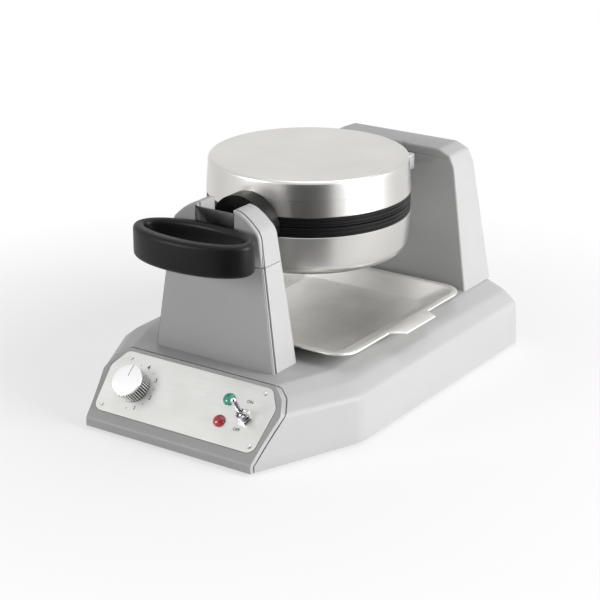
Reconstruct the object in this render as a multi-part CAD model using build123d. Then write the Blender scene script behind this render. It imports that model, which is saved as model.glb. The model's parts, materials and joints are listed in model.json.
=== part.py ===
from build123d import *
import math
import os

# Rotating waffle maker: a flared base with a sloped control face, a front post with a
# U saddle, a rear tower with a bearing, and a round two-half iron that turns between them.
# Millimetres, +Z up. While modelling, Y runs from the front lip (0) to the back; every
# piece is moved at the end so that the origin is under the middle of the whole machine.

# Base casing
DECK_Z = 67.5
BASE_CLEAR = 2.5
LIP_TOP_Z = 11.0
SLOPE_RUN = 58.0
FLARE_Y = 118.0
WALL = 3.0
SIDE_HALF = 145.4
LOW_SHOULDER_INSET = 2.2
LOW_SHOULDER_DROP = 19.6
HIGH_SHOULDER_INSET = 14.6
HIGH_SHOULDER_DROP = 8.1
DECK_SKIM = 0.5
DECK_INSET = 20.6
NOSE_HALF = 97.9
NOSE_LOW_HALF = 87.7
NOSE_HIGH_HALF = 77.6
NOSE_DECK_HALF = 63.1
REAR_CORNER_R = 9.0

# Sloped face
BEZEL_T = 3.0
SEAM = 1.2
BEZEL_FLANGE_T = 2.0
BEZEL_FLANGE_REACH = 8.0
BEZEL_FLANGE_HALF = 80.0
PLATE_T = 1.2
PLATE_RECESS = 0.6
PLATE_LOW_V = 10.8
PLATE_LOW_HALF = 94.5
PLATE_MID_V = 58.5
PLATE_MID_HALF = 98.2
PLATE_TOP_V = 77.0
PLATE_TOP_HALF = 86.0
PLATE_CORNER_R = 9.0
RIVET_R = 2.2
RIVET_HEAD_T = 0.7
RIVET_DEPTH = 3.0
RIVET_EDGE = 6.5

# Thermostat and its knob
KNOB_U = -61.0
KNOB_V = 42.5
KNOB_R = 16.9
KNOB_GAP = 0.6
KNOB_SKIRT_H = 13.5
KNOB_CAP_R = 16.3
KNOB_CAP_T = 3.0
KNOB_HOLLOW_R = 10.5
KNOB_HOLLOW_H = 5.0
THERMOSTAT_SIDE = 38.0
THERMOSTAT_DEPTH = 20.0
STEM_R = 3.0
STEM_FIT = 0.06
STEM_BUSH_R = 5.0
STEM_NUT_R = 7.5
STEM_NUT_T = 2.2

# Lamps and toggle switch
LAMP_U = 46.0
READY_V = 56.0
POWER_V = 33.0
LENS_R = 6.3
LENS_H = 4.6
LAMP_BODY_R = 5.0
LAMP_BODY_DEPTH = 22.0
SWITCH_U = 69.7
SWITCH_V = 43.2
SWITCH_WIDTH = 16.0
SWITCH_HEIGHT = 28.0
SWITCH_DEPTH = 22.0
BUSHING_R = 5.9
BUSHING_H = 8.5
BUSHING_MOUTH_R = 4.6
SWITCH_NUT_ACROSS = 14.4
SWITCH_NUT_T = 2.8
LEVER_ROOT_R = 1.6
LEVER_TIP_R = 2.9
LEVER_LENGTH = 24.0
LEVER_BALL_R = 3.6
LEVER_PIVOT_H = 4.6
LEVER_FIT = 0.06
LEVER_TILT = 10.0

# Front post and saddle
POST_FRONT = 78.0
POST_DEPTH = 37.6
POST_LEAN = 5.2
POST_BACK_LEAN = 5.1
POST_FOOT_HALF = 70.4
POST_TAPER = 0.1458
POST_SEAM_Z = 170.0
POST_WALL = 4.0
COVER_T = 3.5
GROOVE = 1.8
GROOVE_DEPTH = 2.2
COVER_JOINT = 0.6
EAR_SHOULDER_RISE = 12.0
EAR_MID_HALF = 38.5
EAR_MID_RISE = 23.0
EAR_TIP_HALF = 27.0
EAR_RISE = 30.5
EAR_GAP_HALF = 20.5
TROUGH_R = 17.0
STOP_LENGTH = 14.0
STOP_HEIGHT = 10.0
STOP_PROUD = 3.0
STOP_RISE = 7.5

# Turning axis and drum
AXIS_Z = 190.0
DRUM_GAP = 23.4
PARTING = 0.4
BAND_R = 103.0
BAND_HALF_H = 10.0
RIM_PROUD = 0.5
FACE_DRAW = 2.3
UPPER_HALF_H = 45.5
LOWER_HALF_H = 51.0
UPPER_EDGE_R = 3.5
LOWER_EDGE_R = 12.0
SHELL_T = 1.2
BAND_SPIGOT_H = 5.0
BAND_WALL = 6.0
BAND_LEDGE = 3.0
LEDGE_DEPTH = 3.2
SLIP = 0.3

# Grid plates, elements and insulation
GRID_RIM_W = 17.0
GRID_CAVITY_DEPTH = 14.0
GRID_FLOOR_T = 5.0
GRID_PITCH = 19.0
STUD_FOOT = 12.0
STUD_TIP = 8.0
STUD_HEIGHT = 10.0
RIDGE_W = 2.4
ELEMENT_INSET = 20.0
ELEMENT_TUBE_R = 3.3
ELEMENT_ARC = 330.0
PAD_SPREAD = 2.0

# Front hub and journal
HUB_R = 32.0
HUB_PROUD = 21.0
HUB_STEP_R = 26.0
HUB_STEP_H = 3.0
LINER_T = 1.5
JOURNAL_FIT = 0.06
JOURNAL_INSET = 8.0

# Handle
NECK_HALF_W = 10.0
NECK_H = 11.3
CORE_HALF_W = 6.0
CORE_H = 5.0
CORE_LIFT = 3.5
CORE_BURY = 9.0
LOOP_AHEAD = 29.0
LOOP_HALF_W = 66.5
LOOP_HALF_D = 33.0
LOOP_HALF_H = 15.8
LOOP_SIDE_WALL = 10.5
LOOP_FRONT_WALL = 13.5
LOOP_BACK_WALL = 11.0
LOOP_EDGE_R = 4.0

# Rear hinge, yoke and shaft
HINGE_GAP = 8.5
HINGE_Z = 202.0
KNUCKLE_R = 6.0
PIN_R = 2.5
PIN_FIT = 0.06
YOKE_ARM_IN = 8.0
YOKE_ARM_W = 14.0
LID_ARM_W = 13.0
ARM_GAP = 0.6
YOKE_HALF_W = 30.0
YOKE_DROP = 30.0
YOKE_TOP_DROP = 4.0
YOKE_BEHIND = 10.5
LID_BRACKET_HALF_W = 63.0
LID_BRACKET_LOW = 14.0
LID_BRACKET_TOP = 30.5
LID_BRACKET_GAP = 7.5
SHAFT_R = 12.0
SHAFT_FIT = 0.06
SHAFT_BOSS_R = 16.0
SHAFT_BOSS_L = 22.0

# Rear tower
TOWER_GAP = 15.4
TOWER_DEPTH = 55.6
TOWER_LEAN = 12.5
TOWER_BACK_LEAN = 3.2
TOWER_SHOULDER_HALF = 84.7
TOWER_SHOULDER_Z = 196.0
TOWER_BREAK_HALF = 78.4
TOWER_BREAK_Z = 209.0
TOWER_TOP_HALF = 64.2
TOWER_TOP_Z = 215.0
RELIEF_HALF = 21.0
RELIEF_DEPTH = 3.5
RELIEF_DROP = 6.0
SHAFT_HOLE_GAP = 1.5
PANEL_HALF = 58.0
PANEL_LOW_Z = 92.0
PANEL_TOP_Z = 188.0
PANEL_T = 1.5
PANEL_LEDGE = 5.0
FRAME_T = 3.0
FRAME_HALF = 34.0
FRAME_SETBACK = 30.6
FRAME_TOP_RISE = 20.0
BEARING_BLOCK_R = 22.0
BEARING_BLOCK_L = 12.0
BEARING_WALL = 3.0
RETAINER_R = 15.0
RETAINER_T = 1.6

# Drip tray
TRAY_LEFT = -83.0
TRAY_RIGHT = 122.0
TRAY_FRONT_GAP = 7.4
TRAY_BACK_GAP = 24.4
TRAY_RIM_Z = 81.8
TRAY_T = 1.0
TRAY_FLANGE = 7.0
TRAY_WALL_RUN = 22.0
TRAY_CORNER_R = 24.0
TRAY_FLOOR_R = 14.0
TRAY_GAP = 0.3
TAB_REACH = 14.0
TAB_AHEAD = 31.0
TAB_LENGTH = 57.0
TAB_SLANT = 9.0

# Underside, fasteners and wiring
PAN_T = 1.5
PAN_Z = 6.0
PAN_GAP = 0.6
FOOT_R = 13.0
FOOT_FRONT = 78.0
FOOT_BACK_INSET = 50.0
FOOT_FRONT_HALF = 88.0
FOOT_BACK_HALF = 112.0
FOOT_RECESS_R = 5.0
FOOT_RECESS_H = 2.6
SCREW_R = 2.0
SCREW_HEAD_R = 3.8
SCREW_HEAD_H = 2.2
SCREW_GAP = 0.3
PAN_SCREW_SHIFT = 26.0
BOSS_R = 5.5
POST_SCREW_HALF = 44.0
TOWER_SCREW_INSET = 24.0
SADDLE_SCREW_HALF = 34.0
SCREW_BITE = 9.0
VENT_W = 4.0
VENT_L = 40.0
VENT_COUNT = 6
VENT_PITCH = 10.0
GLAND_X = -70.0
GLAND_Z = 30.0
GLAND_R = 9.0
GLAND_NECK_R = 7.0
GLAND_BORE_R = 3.8
GLAND_PROUD = 7.0
GLAND_INNER = 8.0
TERMINAL_W = 46.0
TERMINAL_D = 16.0
TERMINAL_H = 14.0
TERMINAL_X = -40.0
TERMINAL_Y = 300.0

LENS_DOME = 0.75
OVER = 1.0
LOW = (Align.CENTER, Align.CENTER, Align.MIN)
UPPER = (UPPER_HALF_H, UPPER_EDGE_R)
LOWER = (LOWER_HALF_H, LOWER_EDGE_R)
LOW_SHOULDER_HALF = SIDE_HALF - LOW_SHOULDER_INSET
HIGH_SHOULDER_HALF = LOW_SHOULDER_HALF - HIGH_SHOULDER_INSET
DECK_HALF = HIGH_SHOULDER_HALF - DECK_INSET
RIM_R = BAND_R + RIM_PROUD
FACE_R = RIM_R - FACE_DRAW
GRID_CAVITY_R = BAND_R - GRID_RIM_W
ELEMENT_R = GRID_CAVITY_R - ELEMENT_INSET
PAD_R = GRID_CAVITY_R + PAD_SPREAD
POST_BACK = POST_FRONT + POST_DEPTH
DRUM_Y = POST_BACK + DRUM_GAP + BAND_R
HUB_FRONT = DRUM_Y - BAND_R - HUB_PROUD
JOURNAL_FRONT = POST_FRONT + JOURNAL_INSET
LOOP_Y = POST_FRONT - LOOP_AHEAD
HINGE_Y = DRUM_Y + BAND_R + HINGE_GAP
YOKE_BACK = HINGE_Y + YOKE_BEHIND
TOWER_FRONT = YOKE_BACK + TOWER_GAP
BASE_LENGTH = TOWER_FRONT + TOWER_DEPTH
TOWER_FOOT_HALF = DECK_HALF
TOWER_SCREW_HALF = TOWER_FOOT_HALF - TOWER_SCREW_INSET
FRAME_Y = TOWER_FRONT + FRAME_SETBACK
TRAY_FRONT = POST_BACK + TRAY_FRONT_GAP
TRAY_BACK = TOWER_FRONT - TRAY_BACK_GAP
TAB_FRONT = DRUM_Y - TAB_AHEAD
TAB_BACK = TAB_FRONT + TAB_LENGTH
REACH = BASE_LENGTH + GLAND_PROUD
SLOPE_ANGLE = math.degrees(math.atan2(DECK_Z - LIP_TOP_Z, SLOPE_RUN))
EAR_TOP_Z = AXIS_Z + EAR_RISE
JOURNAL_R = TROUGH_R - LINER_T - JOURNAL_FIT
PAN_TOP_Z = PAN_Z + PAN_T
TRAY_BASE_Z = DECK_Z + TRAY_GAP


def fascia_plane():
    a = math.radians(SLOPE_ANGLE)
    normal = (0, -math.sin(a), math.cos(a))
    return Plane(origin=(0, 0, LIP_TOP_Z), x_dir=(1, 0, 0), z_dir=normal)


FASCIA = fascia_plane()


def on_fascia(u, v, w):
    return FASCIA * Pos(u, v, w)


def rod(radius, height):
    return Cylinder(radius, height, align=(Align.CENTER, Align.CENTER, Align.MIN))


def rod_y(radius, y_from, y_to, x=0.0, z=0.0):
    return Pos(x, y_from, z) * Rot(-90, 0, 0) * rod(radius, y_to - y_from)


def rod_x(radius, x_from, x_to, y, z):
    return Pos(x_from, y, z) * Rot(0, 90, 0) * rod(radius, x_to - x_from)


def block(x, y, z):
    size = (x[1] - x[0], y[1] - y[0], z[1] - z[0])
    low = (Align.MIN, Align.MIN, Align.MIN)
    return Pos(x[0], y[0], z[0]) * Box(*size, align=low)


def slab_y(points, y_from, y_to):
    face = Face(Wire.make_polygon([(x, y_from, z) for x, z in points], close=True))
    return Solid.extrude(face, Vector(0, y_to - y_from, 0))


def slab_x(points, half):
    face = Face(Wire.make_polygon([(-half, y, z) for y, z in points], close=True))
    return Solid.extrude(face, Vector(2 * half, 0, 0))


def mirrored(points):
    return points + [(-x, z) for x, z in reversed(points)]


def screw(length):
    head = rod(SCREW_HEAD_R, SCREW_HEAD_H)
    return Pos(0, 0, -SCREW_HEAD_H) * head + rod(SCREW_R, length)


def group(solids):
    return Compound(children=list(solids))


# Base casing: ruled between the nose outline, the full section and the back
def base_section(y, halves, inset, floor_z):
    bottom, low, high, deck = halves
    top_z = DECK_Z - inset
    low_z = DECK_Z - LOW_SHOULDER_DROP - inset
    high_z = DECK_Z - HIGH_SHOULDER_DROP - inset
    right = [
        (bottom - inset, floor_z),
        (bottom - inset, LIP_TOP_Z),
        (low - inset, low_z),
        (high - inset, high_z),
        (deck - inset, top_z + DECK_SKIM),
    ]
    return Wire.make_polygon([(x, y, z) for x, z in mirrored(right)], close=True)


def base_block(inset, floor_z):
    nose = (NOSE_HALF, NOSE_LOW_HALF, NOSE_HIGH_HALF, NOSE_DECK_HALF)
    full = (SIDE_HALF, LOW_SHOULDER_HALF, HIGH_SHOULDER_HALF, DECK_HALF)
    front = base_section(0, nose, inset, floor_z - OVER)
    middle = base_section(FLARE_Y, full, inset, floor_z - OVER)
    back = base_section(BASE_LENGTH - inset, full, inset, floor_z - OVER)
    flare = Solid.make_loft([front, middle], ruled=True)
    body = Solid.make_loft([middle, back], ruled=True)
    side = (-SIDE_HALF - OVER, SIDE_HALF + OVER)
    return (flare + body) & block(side, (-OVER, BASE_LENGTH + OVER), (floor_z, DECK_Z - inset))


def slope_band(depth):
    a = math.radians(SLOPE_ANGLE)
    corner_z = LIP_TOP_Z + depth * (math.tan(a) - 1 / math.cos(a))
    return [
        (SLOPE_RUN + depth * math.sin(a), DECK_Z - depth * math.cos(a)),
        (depth, corner_z),
    ]


def bezel_outline():
    inner = slope_band(BEZEL_T)
    return [(0, BASE_CLEAR), (0, LIP_TOP_Z), (SLOPE_RUN, DECK_Z)] + inner + [(BEZEL_T, BASE_CLEAR)]


def nose_cut_outline():
    a = math.radians(SLOPE_ANGLE)
    shift_y = SEAM * math.cos(a)
    shift_z = SEAM * math.sin(a)
    inner = slope_band(BEZEL_T + SEAM)
    end = (inner[0][0] + shift_y, inner[0][1] + shift_z)
    top = (SLOPE_RUN - OVER * math.sin(a) + shift_y, DECK_Z + OVER * math.cos(a) + shift_z)
    return [(-OVER, -OVER), (-OVER, top[1]), top, end, inner[1], (BEZEL_T + SEAM, -OVER)]


def screw_sites():
    rear_y = BASE_LENGTH - FOOT_BACK_INSET
    middle_y = (FOOT_FRONT + rear_y) / 2
    side = FOOT_BACK_HALF
    return [
        (x, y)
        for y, half in ((FOOT_FRONT, FOOT_FRONT_HALF), (middle_y, side), (rear_y, side))
        for x in (-half, half)
    ]


def pan_bosses():
    inside = base_block(WALL / 2, PAN_Z)
    bosses = []
    for x, y in screw_sites():
        boss = inside & Pos(x, y + PAN_SCREW_SHIFT, PAN_TOP_Z) * rod(BOSS_R, DECK_Z)
        bore = Pos(x, y + PAN_SCREW_SHIFT, PAN_TOP_Z) * rod(SCREW_R + SCREW_GAP, SCREW_BITE + OVER)
        bosses.append(boss - bore)
    return bosses


def base_housing():
    hollow = base_block(WALL, -OVER)
    shell = base_block(0, BASE_CLEAR) - hollow
    for boss in pan_bosses():
        shell = shell + boss
    shell = shell - slab_x(nose_cut_outline(), SIDE_HALF + OVER)
    for x, y in post_screw_sites() + tower_screw_sites() + frame_screw_sites():
        shell = shell - Pos(x, y, DECK_Z - WALL - OVER) * rod(SCREW_R + SCREW_GAP, WALL + 2 * OVER)
    shell = shell - rod_y(GLAND_NECK_R + SLIP, BASE_LENGTH - 2 * WALL, BASE_LENGTH + OVER, GLAND_X, GLAND_Z)
    rear = [e for e in shell.edges().filter_by(GeomType.LINE) if is_rear_corner(e)]
    return fillet(rear, REAR_CORNER_R)


def is_rear_corner(edge):
    along = edge.tangent_at(0.5)
    steep = abs(along.Z) > abs(along.X)
    return steep and abs(edge.position_at(0.5).Y - BASE_LENGTH) < OVER / 10


def front_bezel():
    bezel = base_block(0, BASE_CLEAR) & slab_x(bezel_outline(), SIDE_HALF)
    flange_y = (BEZEL_T - OVER, BEZEL_T + WALL + BEZEL_FLANGE_REACH)
    flange_z = (PAN_TOP_Z, PAN_TOP_Z + BEZEL_FLANGE_T)
    bezel = bezel + block((-BEZEL_FLANGE_HALF, BEZEL_FLANGE_HALF), flange_y, flange_z)
    pocket = control_plate_blank(SLIP)
    bezel = bezel - on_fascia(0, 0, -PLATE_RECESS) * extrude(pocket, PLATE_RECESS + OVER)
    for u, v, radius in face_holes():
        bezel = bezel - on_fascia(u, v, -BEZEL_T - OVER) * rod(radius + SLIP, BEZEL_T + 2 * OVER)
    for u, v in rivet_sites():
        bezel = bezel - on_fascia(u, v, -BEZEL_T - OVER) * rod(RIVET_R / 2, BEZEL_T + 2 * OVER)
    return bezel


# Control plate on the slope
def control_plate_blank(grow):
    right = [
        (PLATE_LOW_HALF + grow, PLATE_LOW_V - grow),
        (PLATE_MID_HALF + grow, PLATE_MID_V),
        (PLATE_TOP_HALF + grow, PLATE_TOP_V + grow),
    ]
    outline = make_face(Polyline(*mirrored(right), close=True))
    return fillet(outline.vertices(), PLATE_CORNER_R)


def rivet_sites():
    low = (PLATE_LOW_HALF - RIVET_EDGE, PLATE_LOW_V + RIVET_EDGE)
    high = (PLATE_TOP_HALF - RIVET_EDGE, PLATE_TOP_V - RIVET_EDGE)
    return [(side * half, v) for half, v in (low, high) for side in (-1, 1)]


def face_holes():
    return [
        (KNOB_U, KNOB_V, STEM_BUSH_R),
        (LAMP_U, READY_V, LAMP_BODY_R),
        (LAMP_U, POWER_V, LAMP_BODY_R),
        (SWITCH_U, SWITCH_V, BUSHING_R),
    ]


PLATE_FACE = PLATE_T - PLATE_RECESS


def control_plate():
    plate = extrude(control_plate_blank(0), PLATE_T)
    for u, v, radius in face_holes():
        plate = plate - Pos(u, v, -OVER) * rod(radius + SLIP, PLATE_T + 2 * OVER)
    for u, v in rivet_sites():
        plate = plate - Pos(u, v, -OVER) * rod(RIVET_R / 2, PLATE_T + 2 * OVER)
    return on_fascia(0, 0, -PLATE_RECESS) * plate


def plate_rivets():
    rivets = []
    for u, v in rivet_sites():
        head = Pos(0, 0, PLATE_FACE) * Cone(RIVET_R, RIVET_R / 2, RIVET_HEAD_T, align=LOW)
        shank = Pos(0, 0, PLATE_FACE - RIVET_DEPTH) * rod(RIVET_R / 2, RIVET_DEPTH)
        rivets.append(on_fascia(u, v, 0) * (head + shank))
    return group(rivets)


# Thermostat
def thermostat_body():
    case = Pos(0, 0, -BEZEL_T - THERMOSTAT_DEPTH) * Box(
        THERMOSTAT_SIDE, THERMOSTAT_SIDE, THERMOSTAT_DEPTH, align=LOW
    )
    bush = Pos(0, 0, -BEZEL_T) * rod(STEM_BUSH_R, BEZEL_T + PLATE_FACE + STEM_NUT_T)
    bore = Pos(0, 0, -BEZEL_T - THERMOSTAT_DEPTH / 2) * rod(
        STEM_R + STEM_FIT, THERMOSTAT_DEPTH / 2 + BEZEL_T + PLATE_FACE + STEM_NUT_T + OVER
    )
    return on_fascia(KNOB_U, KNOB_V, 0) * (case + bush - bore)


def hexagon_nut(across, bore, height):
    nut = extrude(RegularPolygon(across / 2, 6, major_radius=False), height)
    return nut - Pos(0, 0, -OVER) * rod(bore, height + 2 * OVER)


def thermostat_nut():
    nut = hexagon_nut(2 * STEM_NUT_R, STEM_BUSH_R, STEM_NUT_T)
    return on_fascia(KNOB_U, KNOB_V, PLATE_FACE) * nut


KNOB_BASE = PLATE_FACE + KNOB_GAP


def thermostat_stem():
    low = -BEZEL_T - THERMOSTAT_DEPTH / 2 + SLIP
    top = KNOB_BASE + KNOB_SKIRT_H - KNOB_HOLLOW_H / 2
    return on_fascia(KNOB_U, KNOB_V, low) * rod(STEM_R, top - low)


def knob_skirt():
    skirt = Cone(KNOB_R, KNOB_CAP_R, KNOB_SKIRT_H, align=LOW)
    skirt = skirt - Pos(0, 0, -OVER) * rod(KNOB_HOLLOW_R, KNOB_HOLLOW_H + OVER)
    skirt = skirt - Pos(0, 0, -OVER) * rod(STEM_R, KNOB_SKIRT_H - KNOB_HOLLOW_H / 2 + OVER)
    return on_fascia(KNOB_U, KNOB_V, KNOB_BASE) * skirt


def knob_cap():
    cap = Cone(KNOB_CAP_R, KNOB_CAP_R - KNOB_CAP_T / 2, KNOB_CAP_T, align=LOW)
    return on_fascia(KNOB_U, KNOB_V, KNOB_BASE + KNOB_SKIRT_H) * cap


# Lamps
def lamp_body(v):
    body = Pos(0, 0, PLATE_FACE - LAMP_BODY_DEPTH) * rod(LAMP_BODY_R, LAMP_BODY_DEPTH)
    return on_fascia(LAMP_U, v, 0) * body


def lamp_lens(v):
    lens = Pos(0, 0, PLATE_FACE) * Cone(LENS_R, LENS_R * LENS_DOME, LENS_H, align=LOW)
    return on_fascia(LAMP_U, v, 0) * lens


# Toggle switch
def switch_body():
    case = Pos(0, 0, -BEZEL_T - SWITCH_DEPTH) * Box(SWITCH_WIDTH, SWITCH_HEIGHT, SWITCH_DEPTH, align=LOW)
    bushing = Pos(0, 0, -BEZEL_T) * rod(BUSHING_R, BEZEL_T + PLATE_FACE + BUSHING_H)
    pivot = Pos(0, 0, PLATE_FACE + LEVER_PIVOT_H)
    socket = pivot * Sphere(LEVER_BALL_R + LEVER_FIT)
    mouth_h = BUSHING_H - LEVER_PIVOT_H + OVER
    mouth = pivot * Cone(LEVER_BALL_R + SLIP, BUSHING_MOUTH_R + SLIP, mouth_h, align=LOW)
    return on_fascia(SWITCH_U, SWITCH_V, 0) * (case + bushing - socket - mouth)


def switch_nut():
    nut = hexagon_nut(SWITCH_NUT_ACROSS, BUSHING_R, SWITCH_NUT_T)
    return on_fascia(SWITCH_U, SWITCH_V, PLATE_FACE) * nut


def toggle_lever():
    ball = Sphere(LEVER_BALL_R)
    bat = Cone(LEVER_ROOT_R, LEVER_TIP_R, LEVER_LENGTH, align=LOW)
    tip = Pos(0, 0, LEVER_LENGTH) * Sphere(LEVER_TIP_R)
    lever = Rot(-LEVER_TILT, 0, 0) * (ball + bat + tip)
    return on_fascia(SWITCH_U, SWITCH_V, PLATE_FACE + LEVER_PIVOT_H) * lever


# Front post: outline across X and Z, and a leaning slice along Y
def post_half(z):
    return POST_FOOT_HALF - POST_TAPER * (z - DECK_Z)


def post_outline(z_low, z_high, inset):
    right = [(post_half(z_low) - inset, z_low), (post_half(z_high) - inset, z_high)]
    return mirrored(right)


def post_slice(front_in, back_in):
    span = EAR_TOP_Z - DECK_Z
    foot = (POST_FRONT + front_in, POST_BACK - back_in)
    top = (POST_FRONT + POST_LEAN + front_in, POST_BACK - POST_BACK_LEAN - back_in)
    over = OVER / span
    rise_f = POST_LEAN * over
    rise_b = POST_BACK_LEAN * over
    points = [
        (foot[0] - rise_f, DECK_Z - OVER),
        (top[0] + rise_f, EAR_TOP_Z + OVER),
        (top[1] - rise_b, EAR_TOP_Z + OVER),
        (foot[1] + rise_b, DECK_Z - OVER),
    ]
    return slab_x(points, POST_FOOT_HALF + OVER)


def post_layer(outline, front_in, thickness):
    bulk = slab_y(outline, POST_FRONT - OVER, POST_BACK + OVER)
    depth = POST_BACK - POST_FRONT
    front = post_slice(front_in, 0)
    back = post_slice(front_in + thickness, -2 * depth)
    return (bulk & front) - back


def cover_plate(outline_of):
    face = post_layer(outline_of(0), 0, COVER_T)
    spigot = post_layer(outline_of(GROOVE_DEPTH), COVER_T - OVER, GROOVE + OVER)
    return face + spigot


def post_screw_sites():
    y = (POST_FRONT + POST_BACK) / 2 + COVER_T / 2
    return [(-POST_SCREW_HALF, y), (POST_SCREW_HALF, y)]


def front_post_body():
    top = POST_SEAM_Z - COVER_JOINT
    body = slab_y(post_outline(DECK_Z, top, 0), POST_FRONT - OVER, POST_BACK + OVER)
    body = body & post_slice(COVER_T + GROOVE, 0)
    hollow = slab_y(post_outline(DECK_Z + POST_WALL, top - POST_WALL, POST_WALL), 0, BASE_LENGTH)
    body = body - (hollow & post_slice(0, POST_WALL))
    for x, y in post_screw_sites():
        body = body - Pos(x, y, DECK_Z - OVER) * rod(SCREW_R, POST_WALL + 2 * OVER)
    for x in (-SADDLE_SCREW_HALF, SADDLE_SCREW_HALF):
        hole = rod(SCREW_R + SCREW_GAP, POST_WALL + 2 * OVER)
        body = body - Pos(x, post_screw_sites()[0][1], top - POST_WALL - OVER) * hole
    return body


def front_post_cover():
    return cover_plate(lambda inset: post_outline(DECK_Z + inset, POST_SEAM_Z - COVER_JOINT - inset, inset))


def ear_outline(inset):
    shoulder_z = AXIS_Z + EAR_SHOULDER_RISE
    right = [
        (post_half(POST_SEAM_Z) - inset, POST_SEAM_Z + inset),
        (post_half(shoulder_z) - inset, shoulder_z),
        (EAR_MID_HALF - inset, AXIS_Z + EAR_MID_RISE - inset / 2),
        (EAR_TIP_HALF - inset / 2, EAR_TOP_Z - inset),
    ]
    return mirrored(right)


def saddle_gap(grow):
    half = EAR_GAP_HALF + grow
    trough = rod_y(TROUGH_R + grow, 0, BASE_LENGTH, z=AXIS_Z)
    return trough + block((-half, half), (0, BASE_LENGTH), (AXIS_Z, EAR_TOP_Z + 2 * OVER))


def saddle_body():
    body = slab_y(ear_outline(0), POST_FRONT - OVER, POST_BACK + OVER)
    body = body & post_slice(COVER_T + GROOVE, 0)
    body = body - saddle_gap(0)
    for x in (-SADDLE_SCREW_HALF, SADDLE_SCREW_HALF):
        body = body - Pos(x, post_screw_sites()[0][1], POST_SEAM_Z - OVER) * rod(SCREW_R, SCREW_BITE + OVER)
    return body


def saddle_cover():
    face = post_layer(ear_outline(0), 0, COVER_T) - saddle_gap(0)
    spigot = post_layer(ear_outline(GROOVE_DEPTH), COVER_T - OVER, GROOVE + OVER)
    return face + (spigot - saddle_gap(GROOVE_DEPTH))


def saddle_liner():
    outer = rod_y(TROUGH_R, 0, BASE_LENGTH, z=AXIS_Z)
    inner = rod_y(TROUGH_R - LINER_T, 0, BASE_LENGTH, z=AXIS_Z)
    upper = block((-POST_FOOT_HALF, POST_FOOT_HALF), (0, BASE_LENGTH), (AXIS_Z, EAR_TOP_Z))
    return ((outer - inner) - upper) & post_slice(COVER_T + GROOVE, 0)


def stop_blocks():
    back = POST_BACK - POST_BACK_LEAN - SEAM
    blocks = []
    for side in (-1, 1):
        x = sorted((side * EAR_GAP_HALF, side * (EAR_GAP_HALF - STOP_PROUD)))
        low = AXIS_Z + STOP_RISE
        blocks.append(block(x, (back - STOP_LENGTH, back), (low, low + STOP_HEIGHT)))
    return group(blocks)


def post_screws():
    sites = [Pos(x, y, DECK_Z - WALL) * screw(SCREW_BITE) for x, y in post_screw_sites()]
    under = POST_SEAM_Z - COVER_JOINT - POST_WALL
    y = post_screw_sites()[0][1]
    for x in (-SADDLE_SCREW_HALF, SADDLE_SCREW_HALF):
        sites.append(Pos(x, y, under) * screw(SCREW_BITE))
    return group(sites)


# Rear tower
def tower_outline(inset, foot_z):
    right = [
        (TOWER_FOOT_HALF - inset, foot_z),
        (TOWER_SHOULDER_HALF - inset, TOWER_SHOULDER_Z - inset / 2),
        (TOWER_BREAK_HALF - inset, TOWER_BREAK_Z - inset / 2),
        (TOWER_TOP_HALF - inset / 2, TOWER_TOP_Z - inset),
    ]
    return mirrored(right)


def tower_slice(front_in, back_in):
    points = [
        (TOWER_FRONT + front_in, DECK_Z),
        (TOWER_FRONT + TOWER_LEAN + front_in, TOWER_TOP_Z),
        (BASE_LENGTH - TOWER_BACK_LEAN - back_in, TOWER_TOP_Z),
        (BASE_LENGTH - back_in, DECK_Z),
    ]
    return slab_x(points, TOWER_FOOT_HALF + OVER)


def tower_bulk(inset):
    return slab_y(tower_outline(inset, DECK_Z), TOWER_FRONT - OVER, BASE_LENGTH + OVER)


def tower_screw_sites():
    front = TOWER_FRONT + WALL + BOSS_R - OVER
    return [(-TOWER_SCREW_HALF, front), (TOWER_SCREW_HALF, front)]


def panel_window(grow, back_in, depth):
    window = block(
        (-PANEL_HALF - grow, PANEL_HALF + grow),
        (TOWER_FRONT, BASE_LENGTH + OVER),
        (PANEL_LOW_Z - grow, PANEL_TOP_Z + grow),
    )
    return (window & tower_slice(0, back_in)) - tower_slice(-BASE_LENGTH, back_in + depth)


def tower_shell():
    shell = tower_bulk(0) & tower_slice(0, 0)
    shell = shell - (tower_bulk(WALL) & tower_slice(WALL, WALL))
    shell = shell - block((-TOWER_FOOT_HALF + WALL, TOWER_FOOT_HALF - WALL),
                          (TOWER_FRONT + WALL, BASE_LENGTH - WALL), (DECK_Z - OVER, DECK_Z + OVER))
    shell = shell - panel_window(SLIP, 0, PANEL_T)
    shell = shell - panel_window(-PANEL_LEDGE, 0, 2 * WALL)
    shell = shell - rod_y(SHAFT_BOSS_R + SHAFT_HOLE_GAP, TOWER_FRONT, FRAME_Y - FRAME_T, z=AXIS_Z)
    relief = [
        (TOWER_FRONT + TOWER_LEAN - RELIEF_DEPTH, TOWER_TOP_Z - 2 * RELIEF_DROP),
        (TOWER_FRONT + TOWER_LEAN + RELIEF_DEPTH, TOWER_TOP_Z + OVER),
        (TOWER_FRONT, TOWER_TOP_Z + OVER),
    ]
    shell = shell - slab_x(relief, RELIEF_HALF)
    for x, y in tower_screw_sites():
        boss = Pos(x, y, DECK_Z) * rod(BOSS_R, SCREW_BITE + WALL)
        shell = shell + (boss - Pos(x, y, DECK_Z - OVER) * rod(SCREW_R, SCREW_BITE + OVER))
    return shell


def tower_panel():
    return panel_window(0, 0, PANEL_T)


def frame_screw_sites():
    y = FRAME_Y - BEARING_BLOCK_L
    return [(-FRAME_HALF + 2 * BOSS_R, y), (FRAME_HALF - 2 * BOSS_R, y)]


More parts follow.
